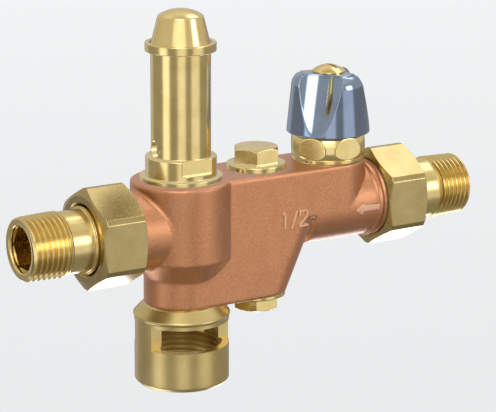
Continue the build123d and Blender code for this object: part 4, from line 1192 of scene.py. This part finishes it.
def panel_light(tree, direction, azimuth, half_width, low, high, strength, soft=5.0):
    """A soft panel in the sky: strength inside an azimuth range and an elevation range, in degrees,
    fading over `soft` degrees at its edges."""
    x, y, z = direction
    flat = tree.maths("SQRT", tree.maths("MAXIMUM", tree.maths(
        "ADD", tree.maths("MULTIPLY", x, x), tree.maths("MULTIPLY", y, y)), 1e-6))
    toward = tree.maths("ADD", tree.maths("MULTIPLY", x, math.cos(math.radians(azimuth))),
                        tree.maths("MULTIPLY", y, math.sin(math.radians(azimuth))))
    near = tree.maths("DIVIDE", toward, flat)

    def cosine(degrees):
        """The cosine, with the angle held between 0 and 180 degrees."""
        return math.cos(math.radians(min(max(degrees, 0.0), 180.0)))

    def sine(degrees):
        """The sine, with the angle held between -90 and 90 degrees."""
        return math.sin(math.radians(min(max(degrees, -90.0), 90.0)))

    inside = tree.spread(near, cosine(half_width + soft), cosine(half_width - soft), kind="SMOOTHSTEP")
    above = tree.spread(z, sine(low - soft), sine(low + soft), kind="SMOOTHSTEP")
    below = tree.spread(z, sine(high - soft), sine(high + soft), 1.0, 0.0, kind="SMOOTHSTEP")
    window = tree.maths("MULTIPLY", tree.maths("MULTIPLY", inside, above), below)
    return tree.maths("MULTIPLY", window, strength)


# Azimuth from +X towards +Y, half width, lowest and highest elevation, strength added to the base
PANELS = (
    (-178, 13, -27, 2, 1.1),
    (-117, 14, -27, 2, 0.7),
    (-62, 17, -27, 2, 0.6),
    (95, 14, -27, 2, 0.25),
    (-126, 26, 6, 20, 0.8),
    (-121, 17, 25, 42, 3.6),
    (-56, 9, 3, 24, 3.4),
    (14, 24, 42, 62, 1.9),
    (50, 11, -43, -30, 5.5),
    (105, 25, -70, -46, 2.6),
)
# Sine of the elevation and the plain strength there
BANDS = ((-0.75, 0.3), (-0.5, 0.42), (-0.36, 0.36), (-0.04, 0.36), (0.1, 0.66), (0.5, 0.66),
         (0.84, 0.95), (1.0, 0.55))
BAND_SCALE = 2.0
# The floor's paint: its darker and paler clouds, and their size in metres
PAINT = ((0.3, (0.26, 0.265, 0.265)), (0.7, (0.27, 0.275, 0.275)))
PAINT_CLOUD = 1.5
# Distances ahead of the valve between which the floor's glow rises, in metres
GLOW_REACH = (0.7, 2.6)
SENSOR = 36.0


def make_world(studio):
    """A studio made of soft bands and panels by direction, while the camera sees the pale backdrop."""
    world = bpy.data.worlds.new("studio")
    bpy.context.scene.world = world
    tree = Tree(world)
    facing = tree.node("ShaderNodeTexCoord").outputs["Generated"]
    parts = tree.node("ShaderNodeSeparateXYZ", {0: facing})
    direction = [parts.outputs[axis] for axis in "XYZ"]
    height = tree.spread(direction[2], -1.0, 1.0)
    stops = [((sine + 1) / 2, (strength / BAND_SCALE,) * 3) for sine, strength in BANDS]
    plain = tree.maths("MULTIPLY", tree.ramp(height, stops), BAND_SCALE)
    plain = tree.out("ShaderNodeBackground", {"Color": (1.0, 1.0, 1.0, 1.0), "Strength": plain})
    added = 0.0
    for panel in PANELS:
        added = tree.maths("ADD", added, panel_light(tree, direction, *panel))
    added = tree.out("ShaderNodeBackground", {"Color": (*studio.panel_colour, 1.0), "Strength": added})
    studio_light = tree.out("ShaderNodeAddShader", {0: plain, 1: added})
    backdrop = tree.out("ShaderNodeBackground", {"Color": (*studio.backdrop, 1.0), "Strength": 1.0})
    seen = tree.node("ShaderNodeLightPath").outputs["Is Camera Ray"]
    mixed = tree.out("ShaderNodeMixShader", {0: seen, 1: studio_light, 2: backdrop})
    tree.node("ShaderNodeOutputWorld", {"Surface": mixed})


def make_floor(studio):
    """A wide pale floor well below the valve, seen by the camera at the backdrop's colour and still
    taking the valve's shadow."""
    reach = np.array([-1.0, 1.0]) * studio.floor_reach
    x, y = np.meshgrid(reach, reach)
    grid = np.stack([x, y, np.full_like(x, studio.floor_height)], axis=-1)
    mesh = skin("floor", [(grid, False)])
    floor = bpy.data.objects.new("floor", mesh)
    bpy.context.scene.collection.objects.link(floor)
    finish = bpy.data.materials.new("floor_paint")
    tree = Tree(finish)
    place = tree.node("ShaderNodeTexCoord").outputs["Object"]
    heading = (math.sin(studio.azimuth), math.cos(studio.azimuth), 0.0)
    away = tree.node("ShaderNodeVectorMath", {0: place, 1: heading}, operation="DOT_PRODUCT")
    shade = tree.ramp(tree.noise(place, PAINT_CLOUD, 2.0), PAINT)
    painted = tree.out("ShaderNodeBsdfDiffuse", {"Color": shade})
    paler = tree.spread(away.outputs["Value"], *GLOW_REACH, studio.glow_near, studio.glow_far)
    glow = tree.out("ShaderNodeEmission", {"Color": (*studio.backdrop, 1.0), "Strength": paler})
    seen = tree.node("ShaderNodeLightPath").outputs["Is Camera Ray"]
    none = tree.out("ShaderNodeEmission", {"Color": (0.0, 0.0, 0.0, 1.0), "Strength": 0.0})
    shown = tree.out("ShaderNodeMixShader", {0: seen, 1: none, 2: glow})
    both = tree.out("ShaderNodeAddShader", {0: painted, 1: shown})
    tree.node("ShaderNodeOutputMaterial", {"Surface": both})
    mesh.materials.append(finish)
    floor.visible_glossy = False


def make_lamp(studio):
    """One large soft lamp high above the camera, a little to its left."""
    light = bpy.data.lights.new("key", "AREA")
    light.shape, light.size = "DISK", studio.key_size
    light.energy = studio.key
    lamp = bpy.data.objects.new("key_lamp", light)
    bpy.context.scene.collection.objects.link(lamp)
    lamp.location = studio.key_place
    aim = Vector((SHUTOFF_X, 0, 0)) - lamp.location
    lamp.rotation_euler = aim.to_track_quat("-Z", "Y").to_euler()
    lamp.visible_camera = False


def make_camera(studio):
    """The camera at the photograph's place, heading, tilt and roll."""
    data = bpy.data.cameras.new("camera")
    data.lens, data.sensor_width, data.sensor_fit = studio.lens, SENSOR, "HORIZONTAL"
    data.clip_start, data.clip_end = 0.01, 50.0
    camera = bpy.data.objects.new("camera", data)
    bpy.context.scene.collection.objects.link(camera)
    camera.matrix_world = (Matrix.Translation(studio.place)
                           @ Matrix.Rotation(-studio.azimuth, 4, "Z")
                           @ Matrix.Rotation(math.pi / 2 - studio.elevation, 4, "X")
                           @ Matrix.Rotation(studio.roll, 4, "Z"))
    bpy.context.scene.camera = camera


def make_stage(settings):
    """Floor, world, lamp and camera."""
    studio = settings.studio
    make_world(studio)
    make_floor(studio)
    make_lamp(studio)
    make_camera(studio)
    bpy.context.scene.view_settings.view_transform = "Standard"


# Operators and panel

class VALVE_OT_casting(bpy.types.Operator):
    """Make the soft casting with its lip, arrow and size mark"""
    bl_idname = "valve.casting"
    bl_label = "Casting"

    def execute(self, context):
        make_casting(context.scene.safety_valve)
        return {"FINISHED"}


class VALVE_OT_unions(bpy.types.Operator):
    """Make the threaded tailpieces and the union nuts"""
    bl_idname = "valve.unions"
    bl_label = "Unions"

    def execute(self, context):
        make_unions(context.scene.safety_valve)
        return {"FINISHED"}


class VALVE_OT_relief(bpy.types.Operator):
    """Make the relief valve's bonnet and lifting cap"""
    bl_idname = "valve.relief"
    bl_label = "Relief Valve"

    def execute(self, context):
        make_relief_valve(context.scene.safety_valve)
        return {"FINISHED"}


class VALVE_OT_plugs(bpy.types.Operator):
    """Make both hexagonal plugs of the check valve"""
    bl_idname = "valve.plugs"
    bl_label = "Plugs"

    def execute(self, context):
        make_plugs(context.scene.safety_valve)
        return {"FINISHED"}


class VALVE_OT_shutoff(bpy.types.Operator):
    """Make the shut-off valve's headwork, handle and screw"""
    bl_idname = "valve.shutoff"
    bl_label = "Shut-off Valve"

    def execute(self, context):
        make_shutoff(context.scene.safety_valve)
        return {"FINISHED"}


class VALVE_OT_funnel(bpy.types.Operator):
    """Make the discharge funnel with its thread and windows"""
    bl_idname = "valve.funnel"
    bl_label = "Discharge Funnel"

    def execute(self, context):
        make_funnel(context.scene.safety_valve)
        return {"FINISHED"}


class VALVE_OT_inner(bpy.types.Operator):
    """Give the inner parts their finishes"""
    bl_idname = "valve.inner"
    bl_label = "Inner Parts"

    def execute(self, context):
        make_inner_parts(context.scene.safety_valve)
        return {"FINISHED"}


class VALVE_OT_stage(bpy.types.Operator):
    """Make the floor, the light and the camera"""
    bl_idname = "valve.stage"
    bl_label = "Stage"

    def execute(self, context):
        make_stage(context.scene.safety_valve)
        return {"FINISHED"}


STEPS = (VALVE_OT_stage, VALVE_OT_inner, VALVE_OT_casting, VALVE_OT_unions, VALVE_OT_relief,
         VALVE_OT_plugs, VALVE_OT_shutoff, VALVE_OT_funnel)


class VALVE_PT_pieces(bpy.types.Panel):
    """Lists the steps that dress the valve"""
    bl_idname = "VALVE_PT_pieces"
    bl_label = "Safety Valve"
    bl_space_type = "VIEW_3D"
    bl_region_type = "UI"
    bl_category = "Safety Valve"

    def draw(self, context):
        for step in STEPS:
            self.layout.operator(step.bl_idname)


CLASSES = (TailpieceSizes, NutSizes, ReliefSizes, PlugSizes, HeadworkSizes, HandleSizes, FunnelSizes,
           CastingSizes, FinishColours, StudioSettings, ValveSettings, *STEPS, VALVE_PT_pieces)


def register():
    """Registers the classes and puts the settings on the scene."""
    for kind in CLASSES:
        bpy.utils.register_class(kind)
    bpy.types.Scene.safety_valve = PointerProperty(type=ValveSettings)


def unregister():
    """Takes the settings and the classes away again."""
    del bpy.types.Scene.safety_valve
    for kind in reversed(CLASSES):
        bpy.utils.unregister_class(kind)


def main():
    """Registers the add-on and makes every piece."""
    register()
    bpy.ops.valve.stage()
    bpy.ops.valve.inner()
    bpy.ops.valve.casting()
    bpy.ops.valve.unions()
    bpy.ops.valve.relief()
    bpy.ops.valve.plugs()
    bpy.ops.valve.shutoff()
    bpy.ops.valve.funnel()
    bpy.context.view_layer.update()


if __name__ == "__main__":
    main()
